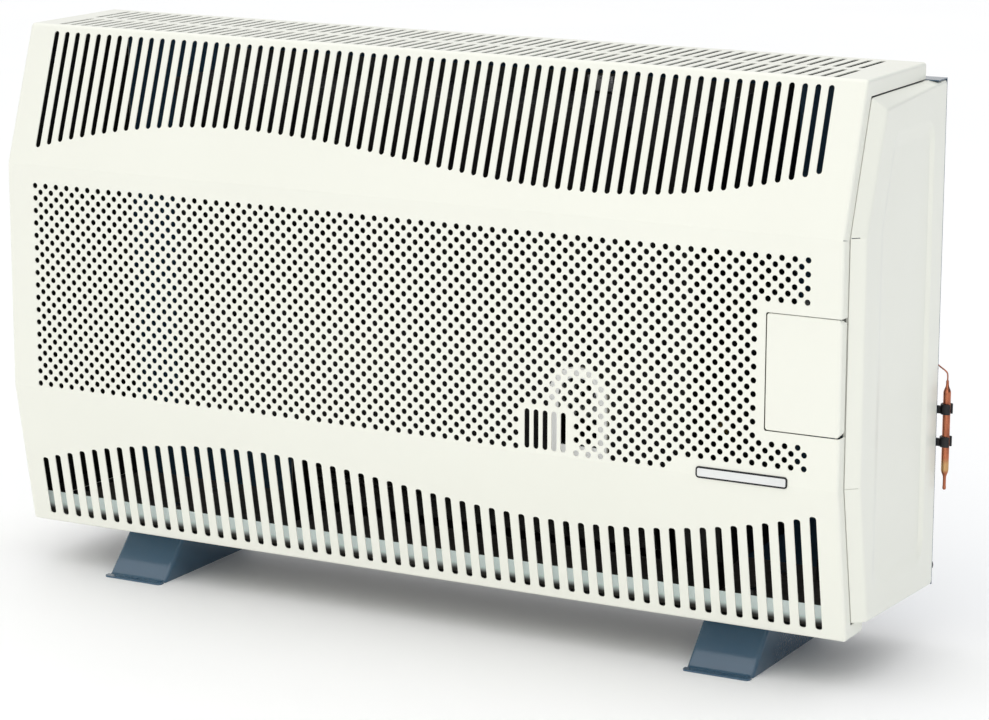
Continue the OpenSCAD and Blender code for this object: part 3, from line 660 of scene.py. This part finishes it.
def is_hole(c, r):
    """Whether column c, row r has a hole, or else the door, the badge or the view slots."""
    return not (
        (c > 62.25 and 3.25 < r < 13.25)
        or (c > 55.75 and r > 15.25)
        or (43.25 < c < 47.75 and r > 12.75)
    )


def hole_loops():
    """The loops cut from each facet, in (x, distance down the facet)."""
    columns = [(c - (COLUMNS - 1) / 2) * PITCH for c in range(COLUMNS)]
    top = [
        slot_loop(x - shift, REAR_FOLD_Y - rear, REAR_FOLD_Y - front, GRILLE_SLOT_W)
        for front, rear, shift in GRILLE_ROWS
        for x in columns
    ]
    upper_len = math.hypot(TOP_Y, TOP_Z - UPPER_FOLD)
    upper = [
        slot_loop(x, UPPER_START, upper_len - UPPER_END - wave(x, *UPPER_WAVE), UPPER_SLOT_W)
        for x in columns
    ]
    middle = []
    for half in (0.0, 0.5):
        for i in range(ROWS - (half > 0)):
            for j in range(COLUMNS - (half > 0)):
                c, r = j + half, i + half
                if is_hole(c, r):
                    x = (c - (COLUMNS - 1) / 2) * PITCH
                    z = ROW_MID_Z + ((ROWS - 1) / 2 - r) * PITCH
                    middle.append(circle(x, UPPER_FOLD - z, HOLE_R, HOLE_SIDES))
    low, high = UPPER_FOLD - VIEW_Z[1], UPPER_FOLD - VIEW_Z[0]
    for i in range(VIEW_SLOTS):
        x = VIEW_X + (i - VIEW_SLOTS // 2) * VIEW_PITCH
        middle.append(slot_loop(x, low, high, VIEW_SLOT_W))
    lower_end = math.hypot(BOTTOM_Y, LOWER_FOLD - BOTTOM_Z) - LOWER_END
    lower = []
    for i in range(LOWER_SLOTS):
        x = (i - LOWER_SLOTS // 2) * LOWER_PITCH
        start = LOWER_START - wave(x, *LOWER_WAVE)
        lower.append(slot_loop(x, start, lower_end, LOWER_SLOT_W, LOWER_CORNER))
    return [[], top, upper, middle, lower, []]


def fold_points(before, corner, after, radius):
    """Points and normals (y, z) of the arc that rounds a convex fold."""
    d0 = (corner - before) / np.linalg.norm(corner - before)
    d1 = (after - corner) / np.linalg.norm(after - corner)
    n0, n1 = np.array([d0[1], -d0[0]]), np.array([d1[1], -d1[0]])
    turn = math.acos(max(-1, min(1, d0 @ d1)))
    reach = radius * math.tan(turn / 2)
    centre = corner - d0 * reach - n0 * radius
    out = []
    for k in range(FOLD_STEPS + 1):
        n = swing(n0, n1, turn, turn * k / FOLD_STEPS)
        out.append((centre + n * radius, n))
    return out


def strip(skin, middle, half, p, m, q, k):
    """A quad across a sheet from (y, z) p, with normal m, to q, with normal k."""
    corners = ((-half, p, m), (half, p, m), (half, q, k), (-half, q, k))
    ids = [skin.point((middle + x, a[0], a[1]), (0, b[0], b[1])) for x, a, b in corners]
    skin.face(*ids)


def bend_row(skin, middle, flat, bend, side, p, n, lowest=-math.inf):
    """Points round a sheet's side bend, from (y, z) p with normal n, and the last one's (y, z)."""
    row = []
    for k in range(BEND_STEPS + 1):
        a = math.pi / 2 * k / BEND_STEPS
        at = p - n * bend * (1 - math.cos(a))
        at[1] = max(at[1], lowest)
        place = (middle + side * (flat + bend * math.sin(a)), at[0], at[1])
        row.append(
            skin.point(place, (side * math.sin(a), n[0] * math.cos(a), n[1] * math.cos(a)))
        )
    return row, at


def make_hood():
    """The hood's sheet: its facets, the folds between them, and its side bends and flanges.

    Returns points, faces and loop normals, and how many of the faces are its outer side.
    """
    skin = Skin()
    facets = len(CORNERS) - 1
    folds = {
        j: fold_points(CORNERS[j - 1], CORNERS[j], CORNERS[j + 1], FOLD_R[j])
        for j in range(1, facets)
    }
    loops = hole_loops()
    sides = {1: [], -1: []}
    mitre = {}
    lengths = [np.linalg.norm(CORNERS[i + 1] - CORNERS[i]) for i in range(facets)]
    direction = [(CORNERS[i + 1] - CORNERS[i]) / lengths[i] for i in range(facets)]
    normal = [np.array([d[1], -d[0]]) for d in direction]
    # Where the flanges of two facets meet at a corner of the hood's side
    for j in range(2, facets):
        rows = np.array(normal[j - 1 : j + 1])
        mitre[j] = np.linalg.solve(rows, rows @ CORNERS[j] - np.array(FLANGE[j - 1 : j + 1]))
    for i in range(facets):
        corner, d, n = CORNERS[i], direction[i], normal[i]
        low, high = 0.0, lengths[i]
        if i:
            low = np.linalg.norm(folds[i][-1][0] - corner)
        if i + 1 in folds:
            high -= np.linalg.norm(folds[i + 1][0][0] - CORNERS[i + 1])
        outline = [(-FLAT_X, low), (FLAT_X, low), (FLAT_X, high), (-FLAT_X, high)]
        cuts = []
        if i == MIDDLE_FACET:
            cut_x = DOOR[0] - DOOR_GAP
            cuts = [UPPER_FOLD - DOOR[3] - DOOR_GAP, UPPER_FOLD - DOOR[2] + DOOR_GAP]
            outline[2:2] = [
                (FLAT_X, cuts[0]),
                (cut_x + NOTCH, cuts[0]),
                (cut_x, cuts[0] + NOTCH),
                (cut_x, cuts[1] - NOTCH),
                (cut_x + NOTCH, cuts[1]),
                (FLAT_X, cuts[1]),
            ]
        skin.flat(
            lambda u, v, c=corner, d=d: (u, c[0] + v * d[0], c[1] + v * d[1]),
            (0, n[0], n[1]),
            outline,
            loops[i],
            convex=i != MIDDLE_FACET,
        )
        # The side edges of every facet but the rear flange, each with the end of its flange. Marks
        # say where the door cut-out starts, and where the sheet is slit at the upper fold
        if i:
            for side in (1, -1):
                stops = [low, high]
                if side > 0 and cuts:
                    stops = [low] + cuts + [high]
                for k, v in enumerate(stops):
                    p = corner + v * d
                    inner = p - n * FLANGE[i]
                    if k == 0 and i in mitre:
                        inner = mitre[i]
                    if k == len(stops) - 1 and i + 1 in mitre:
                        inner = mitre[i + 1]
                    door_edge = side > 0 and cuts and k == 1
                    sides[side].append((p, n, inner, "stop" if door_edge else ""))
                if i + 1 in folds:
                    for k, (p, m) in enumerate(folds[i + 1][1:-1]):
                        slit = i + 1 == MIDDLE_FACET and k in (1, 2)
                        sides[side].append((p, m, mitre[i + 1], "slit" if slit else ""))
    for j in folds:
        for (p, m), (q, k) in zip(folds[j], folds[j][1:]):
            strip(skin, 0.0, FLAT_X, p, m, q, k)
    for side in (1, -1):
        rows = []
        for p, n, inner, mark in sides[side]:
            row, _ = bend_row(skin, 0.0, FLAT_X, BEND, side, p, n)
            row.append(skin.point((side * HOOD_X, inner[0], inner[1]), (side, 0, 0)))
            rows.append((row, mark))
        for (a, mark), (b, _) in zip(rows, rows[1:]):
            if mark == "stop":
                continue
            for k in range(BEND_STEPS + 1):
                if mark == "slit" and k >= 2:
                    continue
                skin.face(a[k], a[k + 1], b[k + 1], b[k])
    return *skin.solid(SHEET), len(skin.faces)


hood_points, hood_faces, hood_loops, hood_half = make_hood()
# The sheet's inner side is near-black, partly painted shade behind the slots
hood = build_mesh(
    "hood_sheet",
    hood_points,
    hood_faces,
    CREAM,
    "casing",
    "cream_enamel",
    hood_loops,
    back=(INNER_COAT_SHADE, hood_half, 2 * hood_half),
)
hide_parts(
    "hood_top",
    "hood_top_rim",
    "hood_upper",
    "hood_middle_left",
    "hood_middle_right",
    "hood_door_surround",
    "hood_lower",
    "hood_lip",
    "hood_side_left",
    "hood_side_right",
)


# ---------------------------------------------------------------- the control door


DOOR_STEPS = 5
CORNER_STARTS = (180, 270, 0, 90)  # degrees, the way out of the door at each corner's start
DOOR_TAPER = 1.6  # how far the door's height draws in round its hinge side
TAB_X, TAB_Y, TAB_INSET = (482, 497.5), (1.0, 9.5), 2.7  # the hinge tabs
HINGE_X, HINGE_Y, PIN_HOLE_R = 493, 7, 1.6


def make_door():
    """The door: a lid with rolled edges, deeper at its hinge side, and its two hinge tabs."""
    x0, x1, z0, z1 = DOOR
    box = [(x0, z0), (x1, z0), (x1, z1), (x0, z1)]
    outer = rounded(box, [3.0, 3.5, 3.5, 3.0], [DOOR_STEPS] * 4)
    skin = Skin()
    rings = [[] for _ in range(DOOR_STEPS + 2)]
    for k, (x, z) in enumerate(outer):
        corner, step = divmod(k, DOOR_STEPS + 1)
        a = math.radians(CORNER_STARTS[corner] + 90 * (step / DOOR_STEPS))
        o = np.array([math.cos(a), math.sin(a)])
        # Towards the hinge side the rolled edge is rounder and the rim deeper
        rightness = max(0.0, o[0])
        r = 1.5 + 2.0 * rightness
        depth = 5.0 + 7.5 * rightness**4
        flat = np.array([x, z]) - o * r
        for j in range(DOOR_STEPS + 1):
            b = math.pi / 2 * j / DOOR_STEPS
            q = flat + o * r * math.sin(b)
            if rightness > 0.5:
                taper = DOOR_TAPER * math.sin(b) * rightness
                q[1] -= math.copysign(taper, q[1] - (z0 + z1) / 2)
            y = r * (1 - math.cos(b))
            rings[j].append(
                skin.point(
                    (q[0], y, q[1]),
                    (o[0] * math.sin(b), -math.cos(b), o[1] * math.sin(b)),
                )
            )
        rings[-1].append(skin.point((q[0], depth, q[1]), (o[0], 0, o[1])))
    skin.face(*rings[0])
    skin.join(rings)
    lid = skin.solid(SHEET)
    tabs = []
    for z, up in ((z0 + TAB_INSET, 1), (z1 - TAB_INSET, -1)):
        tab = Skin()
        tab.flat(
            lambda u, v, z=z: (u, v, z),
            (0, 0, up),
            list(zip(TAB_X + TAB_X[::-1], np.repeat(TAB_Y, 2))),
            [circle(HINGE_X, HINGE_Y, PIN_HOLE_R, 16)],
        )
        tabs.append(tab.solid(SHEET))
    return merge(lid, *tabs)


door = build_mesh("door_lid", *make_door()[:2], CREAM, "door", "cream_enamel")
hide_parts("control_door")


# ---------------------------------------------------------------- the side panels

REAR_Y = 236.5
SIDE_SET_BACK = 14  # the side panel's front edge behind the hood's face
SIDE_TOP_Z, SIDE_TOP_REAR_Z = 596.2, 595.3
SIDE_LOW_Z, SIDE_LOW_REAR_Z = 66, 59.5
TOP_EDGE_STEPS, TOP_EDGE_BOW = 12, 0.8


def hood_y(z):
    """The hood's front face at height z, at its side."""
    if z > UPPER_FOLD:
        return TOP_Y * (z - UPPER_FOLD) / (TOP_Z - UPPER_FOLD)
    if z < LOWER_FOLD:
        return BOTTOM_Y * (LOWER_FOLD - z) / (LOWER_FOLD - BOTTOM_Z)
    return 0.0


def side_loop(m, g):
    """The side panel's outline, drawn in by m at its front and top, and g at its rear and foot."""
    front = SIDE_SET_BACK + m
    polygon = [
        (hood_y(SIDE_TOP_Z) + front, SIDE_TOP_Z - m),
        (front, UPPER_FOLD),
        (front, LOWER_FOLD),
        (hood_y(SIDE_LOW_Z) + front, SIDE_LOW_Z + g),
        (REAR_Y - g, SIDE_LOW_REAR_Z + g),
        (REAR_Y - g, SIDE_TOP_REAR_Z - 0.1 * m - g),
    ]
    loop = rounded(polygon, [4, 7, 7, 3, 3, 3], [5, 3, 3, 5, 5, 5])
    # The top edge is divided, because the ramp below it is twisted, and very slightly bowed
    start, end = np.array(loop[-1]), np.array(loop[0])
    for k in range(1, TOP_EDGE_STEPS):
        t = k / TOP_EDGE_STEPS
        y, z = start + (end - start) * t
        loop.append((y, z + TOP_EDGE_BOW * t * (1 - t)))
    return loop


RAMP_X, CHAMFER = 499.5, 13.0  # the chamfer runs from x RAMP_X, over a depth of CHAMFER
RAMP_BEND, RAMP_STEPS = 6.0, 4  # the bend between the chamfer and the face
REAR_R = 2.5  # the bend at the rear and the foot
# The sheet's edge before the chamfer, with a groove beside the hood: (x, drawn in by)
EDGE = [(496.2, 1.9), (498.9, 1.9), (499.3, 1.5), (RAMP_X, 0.8), (500.0, 0.9)]
RAMP_RUN = 7.5  # a section part of the way up the chamfer
# Slits at the two front corners: point of the outline, first section, end
SLITS = {7: (2, 5), 11: (4, 6)}
RECESS_STEPS, RECESS_DEPTH = 9, 3.8


def side_sections():
    """How far the side panel's outline is drawn in, from its edge out to its face: (x, m)."""
    corner = np.array([SIDE_X, CHAMFER])
    ramp = corner - np.array([RAMP_X, 0.0])
    ramp /= np.linalg.norm(ramp)
    turn = math.acos(ramp[1])
    reach = RAMP_BEND * math.tan(turn / 2)
    begin = corner - ramp * reach
    centre = begin - np.array([ramp[1], -ramp[0]]) * RAMP_BEND
    first, last = begin - centre, np.array([SIDE_X - centre[0], 0.0])
    sections = EDGE + [(RAMP_X + RAMP_RUN, RAMP_RUN * ramp[1] / ramp[0])]
    for k in range(RAMP_STEPS + 1):
        sections.append(tuple(centre + swing(first, last, turn, turn * k / RAMP_STEPS)))
    return sections


def recess_rings(side):
    """The embossed panel's slope, from its rim down to its floor."""
    rings = []
    for k in range(RECESS_STEPS + 1):
        t = k / RECESS_STEPS
        depth = RECESS_DEPTH * t * t * (3 - 2 * t)
        # The slope is narrow at the rear and wide at the front
        front, rear, bottom, top = 60 + 22 * t, 206 - 7 * t, 90 + 20 * t, 560 - 20 * t
        polygon = [
            (front, bottom),
            (rear, bottom),
            (rear, top),
            (front + hood_y(top), top),
            (front, UPPER_FOLD),
        ]
        loop = rounded(polygon, [22 - 14 * t] * 4 + [40], [6] * 5)
        rings.append([(side * (SIDE_X - depth), y, z) for y, z in loop])
    return rings


def make_side(side):
    """A side panel at x > 0 for side 1, or its mirror image for side -1."""
    skin = Skin()
    rings = []
    for x, m in side_sections():
        over = max(0.0, x - (SIDE_X - REAR_R))
        g = REAR_R - math.sqrt(max(0.0, REAR_R**2 - over**2))
        rings.append([(side * x, y, z) for y, z in side_loop(m, g)])
    out = (side, 0, 0)
    ids = [[skin.point(p) for p in ring] for ring in rings[:-1]]
    ids.append([skin.point(p, out) for p in rings[-1]])
    count = len(ids[0])
    for j, (a, b) in enumerate(zip(ids, ids[1:])):
        for k in range(count):
            if k in SLITS and SLITS[k][0] <= j < SLITS[k][1]:
                continue
            skin.face(a[k], a[(k + 1) % count], b[(k + 1) % count], b[k])
    recess = recess_rings(side)
    ring_ids = [[skin.point(p) for p in ring] for ring in recess[:-1]]
    ring_ids.append([skin.point(p, out) for p in recess[-1]])
    skin.join(ring_ids)
    skin.face(*ring_ids[-1])
    lofted = len(skin.faces)
    skin.flat(
        lambda y, z: (side * SIDE_X, y, z),
        out,
        [(y, z) for _, y, z in rings[-1]],
        [[(y, z) for _, y, z in recess[0]]],
    )
    # The lofts are wound alike, so the recess's floor tells whether they all face outwards
    points = np.array(skin.points)
    loft_turned = newell(points[skin.faces[lofted - 1]])[0] * side < 0
    for f, ids in enumerate(skin.faces):
        turned = loft_turned if f < lofted else newell(points[ids])[0] * side < 0
        if turned:
            skin.faces[f] = ids[::-1]
    return *skin.solid(SHEET, (side, 0, 0)), len(skin.faces)


for side, word in ((1, "right"), (-1, "left")):
    points, faces, loops, half = make_side(side)
    # The panel's inner side is near-black, partly painted shade inside the casing
    tray = build_mesh(
        f"side_tray_{word}",
        points,
        faces,
        CREAM,
        "casing",
        "cream_enamel",
        loops,
        back=(INNER_COAT_SHADE, half, 2 * half),
    )
    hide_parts(f"side_panel_{word}")


# The angle at each end of the base tray: its section in (x, z), and its ends in y
ANGLE_SECTION = ((497.2, 78.0), (497.2, 60.9), (489.0, 60.9))
ANGLE_Y = (43.0, 234.0)
ANGLE_T = 0.7


def make_end_angles():
    """An angle along each end of the base tray, which closes the joint with the side panel."""
    parts = []
    for side in (1, -1):
        skin = Skin()
        ids = [[skin.point((side * x, y, z)) for y in ANGLE_Y] for x, z in ANGLE_SECTION]
        for a, b in zip(ids, ids[1:]):
            skin.face(a[0], a[1], b[1], b[0])
        parts.append(skin.solid(ANGLE_T, (-side, 0, 1)))
    return merge(*parts)


# The angles' dark zinc is partly painted shade in the joint
build_mesh("tray_end_angles", *make_end_angles()[:2], DARK_ZINC_SHADE, "casing", "galvanised")


# ---------------------------------------------------------------- the feet


FOOT_X = 360.0
FOOT_HALF, FOOT_BEND, FOOT_T = 37.5, 4.5, 2.0
FOOT_FLAT = FOOT_HALF - FOOT_BEND
TOE_Y, SLOPE_Y, CREST_Y, HEEL_Y = 22.0, 33.0, 92.0, 210.0
TOE_Z, CREST_Z = FLOOR_Z + 2, 58.8
TOE_R, CREST_R = 6.0, 8.0
ARC_STEPS = 5
TOE_HOLE_Y, TOE_HOLE_R = 27, 3
EDGE_LIFT = 0.3  # the least height of a side bend above the floor


def make_foot(middle):
    """A foot: the toe plate with its hole, the slope and the top, with flanges down its sides."""
    skin = Skin()
    d = np.array([CREST_Y - SLOPE_Y, CREST_Z - TOE_Z])
    d = d / np.linalg.norm(d)
    n_slope = np.array([-d[1], d[0]])
    n_up = np.array([0.0, 1.0])
    turn = math.acos(n_slope @ n_up)

    def arc(centre, radius, n0, n1):
        """Points and normals from n0 to n1; a negative radius gives a hollow fold."""
        out = []
        for k in range(ARC_STEPS + 1):
            n = swing(n0, n1, turn, turn * k / ARC_STEPS)
            out.append((centre + n * radius, n))
        return out

    lip_end = SLOPE_Y - TOE_R * math.tan(turn / 2)
    toe_arc = arc(np.array([lip_end, TOE_Z + TOE_R]), -TOE_R, n_up, n_slope)
    crest_y = CREST_Y + CREST_R * math.tan(turn / 2)
    crest_arc = arc(np.array([crest_y, CREST_Z - CREST_R]), CREST_R, n_slope, n_up)
    lip = rounded(
        [(-FOOT_HALF, TOE_Y), (FOOT_HALF, TOE_Y), (FOOT_HALF, lip_end), (-FOOT_HALF, lip_end)],
        [4, 4, 0.01, 0.01],
        [4, 4, 1, 1],
    )
    # Only the toe's own corners are rounded; the far side is one straight edge
    lip = [p for p in lip if p[1] < lip_end - 0.005]
    lip += [(x, lip_end) for x in (FOOT_HALF, FOOT_FLAT, -FOOT_FLAT, -FOOT_HALF)]
    skin.flat(
        lambda u, v: (middle + u, v, TOE_Z),
        (0, 0, 1),
        lip,
        [circle(0, TOE_HOLE_Y, TOE_HOLE_R, 20)],
    )
    profile = toe_arc + crest_arc + [(np.array([HEEL_Y, CREST_Z]), n_up)]
    for (p, m), (q, k) in zip(profile, profile[1:]):
        strip(skin, middle, FOOT_FLAT, p, m, q, k)
    # The flanges start two steps up the toe's fold
    for side in (1, -1):
        rows = []
        for p, n in profile[2:]:
            row, at = bend_row(
                skin, middle, FOOT_FLAT, FOOT_BEND, side, p, n, FLOOR_Z + EDGE_LIFT
            )
            row.append(skin.point((middle + side * FOOT_HALF, at[0], FLOOR_Z), (side, 0, 0)))
            rows.append(row)
        for a, b in zip(rows, rows[1:]):
            for k in range(BEND_STEPS + 1):
                skin.face(a[k], a[k + 1], b[k + 1], b[k])
    return skin.solid(FOOT_T)


for side, word in ((-1, "left"), (1, "right")):
    points, faces, loops = make_foot(side * FOOT_X)
    # Near the toe the sheet's thickness would take the bends below the floor
    points[:, 2] = np.maximum(points[:, 2], FLOOR_Z)
    foot = build_mesh(
        f"foot_plate_{word}", points, faces, BLUE, "casing", "blue_enamel", loops
    )
    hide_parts(f"foot_{word}")


# ---------------------------------------------------------------- bulb, clips and badge


BULB_X, BULB_Y, BULB_R = SIDE_X + 7, 245.5, 4.0


def bulb_profile():
    """Thermostat bulb from its sealed tail to its neck: (radius, height)."""
    tail = [(0.3, 160.8), (1.2, 161.1), (1.8, 162.1), (1.95, 163.4), (1.7, 165.3)]
    cone = [(1.65, 172.8), (1.8, 175.3), (2.6, 177.8), (3.5, 179.8), (BULB_R, 182.3)]
    body = [(BULB_R, z) for z in (200.0, 222.0, 244.0, 265.5)]
    neck = [(3.7, 267.5), (2.7, 270.0), (1.9, 272.0), (1.6, 274.0), (1.45, 278.0)]
    return tail + cone + body + neck + [(1.1, 278.5)]


points, faces = lathe(bulb_profile(), (BULB_X, BULB_Y, 0.0))
bulb = build_mesh(
    "thermostat_bulb", points, faces, SLOTS["copper_tube"], "casing", "copper_tube"
)
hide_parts("sensor_bulb")


CLIP_HEIGHTS = (213.0, 248.0)
CLIP_INNER, CLIP_OUTER, CLIP_HALF = BULB_R + 0.1, 6.5, 5.5
CLIP_OPENING = math.radians(38)  # half of the gap at its mouth
CLIP_STEPS, FLARE_STEPS, CLIP_FLARE = 30, 3, 0.7
CLIP_EDGE = 0.4  # chamfer
STEM_X, STEM_Y, STEM_HALF = (BULB_X - 16, BULB_X - 4.5), (238.1, 241.4), 4.0
BOX_FACES = [
    [0, 1, 3, 2], [4, 6, 7, 5], [0, 4, 5, 1], [2, 3, 7, 6], [0, 2, 6, 4], [1, 5, 7, 3]
]


def make_clip(middle_z):
    """A spring clip: a ring open at the outside, with flared ends, on a stem to the back."""
    points = []
    for k in range(CLIP_STEPS + 1):
        a = CLIP_OPENING + 2 * (math.pi - CLIP_OPENING) * k / CLIP_STEPS
        start, end = max(0, 1 - k / FLARE_STEPS), max(0, 1 - (CLIP_STEPS - k) / FLARE_STEPS)
        flare = CLIP_FLARE * (start + end)
        low, high, e, half = CLIP_INNER + flare, CLIP_OUTER + 0.4 * flare, CLIP_EDGE, CLIP_HALF
        outline = [
            (low, -half + e), (low + e, -half), (high - e, -half), (high, -half + e),
            (high, half - e), (high - e, half), (low + e, half), (low, half - e),
        ]
        c, s = math.cos(a), math.sin(a)
        points += [(BULB_X + r * c, BULB_Y + r * s, middle_z + z) for r, z in outline]
    sides = len(outline)
    faces = list(ends(CLIP_STEPS + 1, sides)) + loft(CLIP_STEPS + 1, sides)
    heights = (-STEM_HALF, STEM_HALF)
    box = [(x, y, middle_z + z) for x in STEM_X for y in STEM_Y for z in heights]
    stem = [[i + len(points) for i in quad] for quad in BOX_FACES]
    return points + box, faces + stem


clip_points, clip_faces, _ = merge(*((*make_clip(z), []) for z in CLIP_HEIGHTS))
clips = build_mesh(
    "bulb_spring_clips",
    clip_points,
    clip_faces,
    SLOTS["black_plastic"],
    "casing",
    "black_plastic",
)
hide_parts("bulb_clips")

BADGE_X, BADGE_Z, BADGE_HALF_H = (345, 445), 214.5, 6
BADGE_R, BADGE_STEPS = 3.5, 6
# The badge's section, from its foot over its rim to its field: (inset, height)
BADGE_SECTION = [
    (0.0, 0.0), (0.0, 0.8), (0.25, 1.1), (0.55, BADGE_T), (1.5, BADGE_T),
    (1.8, 0.9), (2.0, 0.85), (3.0, 0.95),
]
BADGE_RIM = 5  # how many steps of the section are rim


def make_badge():
    """A blank badge: a dark plate with a raised rim round a light, slightly crowned field.

    Returns points and faces, and the field's first face.
    """
    points = []
    for inset, height in BADGE_SECTION:
        x0, x1 = BADGE_X[0] + inset, BADGE_X[1] - inset
        z0, z1 = BADGE_Z - BADGE_HALF_H + inset, BADGE_Z + BADGE_HALF_H - inset
        box = [(x0, z0), (x1, z0), (x1, z1), (x0, z1)]
        loop = rounded(box, [max(BADGE_R - inset, 0.4)] * 4, [BADGE_STEPS] * 4)
        points += [(x, -height, z) for x, z in loop]
    rings = len(BADGE_SECTION)
    count = len(points) // rings
    foot, field = ends(rings, count)
    return points, [foot, *loft(rings, count), field], 1 + BADGE_RIM * count


points, faces, field = make_badge()
badge_field = plastic("badge_field", (0.80, 0.81, 0.80), (0.74, 0.75, 0.74), 0.3)
badge = build_mesh(
    "blank_badge",
    points,
    faces,
    SLOTS["black_plastic"],
    "casing",
    "black_plastic",
    back=(badge_field, field, len(faces)),
)
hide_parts("badge")


# ---------------------------------------------------------------- floor, light and camera


FLOOR_HALF = 12.0  # metres


def stage_floor():
    """A pale floor, which isn't part of the object."""
    n = Nodes("floor")
    tone = n.ramp(n.noise(1.5, 3.0), 0.3, 0.7)
    floor_material = n.finish(
        Base_Color=n.mix(tone, colour(0.97, 0.97, 0.97), colour(0.96, 0.96, 0.96)),
        Roughness=0.6,
        Normal=n.bump(n.noise(60.0, 3.0), 0.0001),
    )
    mesh = bpy.data.meshes.new("floor")
    r = FLOOR_HALF
    mesh.from_pydata([(-r, -r, 0), (r, -r, 0), (r, r, 0), (-r, r, 0)], [], [[0, 1, 2, 3]])
    mesh.materials.append(floor_material)
    floor = bpy.data.objects.new("floor", mesh)
    bpy.context.scene.collection.objects.link(floor)


def area_light(name, place, target, size, watts, tint=(1, 1, 1)):
    """A rectangular lamp at a place, turned towards a target."""
    data = bpy.data.lights.new(name, "AREA")
    data.shape = "RECTANGLE"
    data.size, data.size_y = size
    data.energy = watts
    data.color = tint
    lamp = bpy.data.objects.new(name, data)
    lamp.location = place
    lamp.rotation_euler = (Vector(target) - Vector(place)).to_track_quat("-Z", "Y").to_euler()
    bpy.context.scene.collection.objects.link(lamp)


stage_floor()
area_light("key", (1.6, -3.2, 1.0), (0.1, 0, 0.3), (2.0, 1.4), 15.0, (1.0, 1.0, 0.98))
area_light("overhead", (0.1, -0.3, 3.0), (0, 0, 0.3), (3.0, 2.4), 3.0)


DARK_WALL = (0.9, 0.4, 0.0)  # the way to the room's darker side


def make_world():
    """A white room, brightest overhead and darker at the right and behind."""
    world = bpy.data.worlds.new("studio")
    world.use_nodes = True
    tree = world.node_tree
    background = next(n for n in tree.nodes if n.type == "BACKGROUND")
    where = tree.nodes.new("ShaderNodeTexCoord").outputs["Generated"]

    def ramp(direction, low, high):
        along = tree.nodes.new("ShaderNodeVectorMath")
        along.operation = "DOT_PRODUCT"
        tree.links.new(where, along.inputs[0])
        along.inputs[1].default_value = direction
        node = tree.nodes.new("ShaderNodeMapRange")
        node.interpolation_type = "SMOOTHSTEP"
        node.inputs["From Min"].default_value = low
        node.inputs["From Max"].default_value = high
        tree.links.new(along.outputs["Value"], node.inputs["Value"])
        return node.outputs["Result"]

    def mix(factor, a, b):
        node = tree.nodes.new("ShaderNodeMix")
        node.data_type = "RGBA"
        tree.links.new(factor, node.inputs["Factor"])
        for socket, value in zip([s for s in node.inputs if s.type == "RGBA"], (a, b)):
            if isinstance(value, bpy.types.NodeSocket):
                tree.links.new(value, socket)
            else:
                socket.default_value = value
        return next(s for s in node.outputs if s.type == "RGBA")

    walls = mix(ramp(DARK_WALL, 0.1, 0.8), colour(0.74, 0.74, 0.735), colour(0.21, 0.25, 0.31))
    room = mix(ramp((0.0, 0.0, 1.0), 0.25, 0.95), walls, colour(1.35, 1.35, 1.35))
    tree.links.new(room, background.inputs["Color"])
    return world


world = make_world()
bpy.context.scene.world = world
bpy.context.scene.view_settings.view_transform = "Standard"
bpy.context.scene.view_settings.look = "None"


CAMERA_PLACE = (1669.3, -2892.7, 1029.8)
CAMERA_ANGLES = (28.25, 12.45, 0.11)  # yaw, downward pitch and roll, in degrees
FOCAL_PX, IMAGE_PX = 3257.0, 989  # focal length and image width
SENSOR_MM = 36.0


def make_camera():
    """The camera at the photograph's viewing angle, with no shift and no depth of field."""
    yaw, pitch, roll = (math.radians(a) for a in CAMERA_ANGLES)
    place = placed(CAMERA_PLACE)
    ahead = Vector(
        (
            -math.sin(yaw) * math.cos(pitch),
            math.cos(yaw) * math.cos(pitch),
            -math.sin(pitch),
        )
    )
    right = Vector((math.cos(yaw), math.sin(yaw), 0))
    up = right.cross(ahead)
    right, up = (
        math.cos(roll) * right + math.sin(roll) * up,
        math.cos(roll) * up - math.sin(roll) * right,
    )
    data = bpy.data.cameras.new("camera")
    data.sensor_width = SENSOR_MM
    data.lens = FOCAL_PX * SENSOR_MM / IMAGE_PX
    camera = bpy.data.objects.new("camera", data)
    turn = Matrix((right, up, -ahead)).transposed().to_4x4()
    camera.matrix_world = Matrix.Translation(Vector(place)) @ turn
    bpy.context.scene.collection.objects.link(camera)
    bpy.context.scene.camera = camera


make_camera()
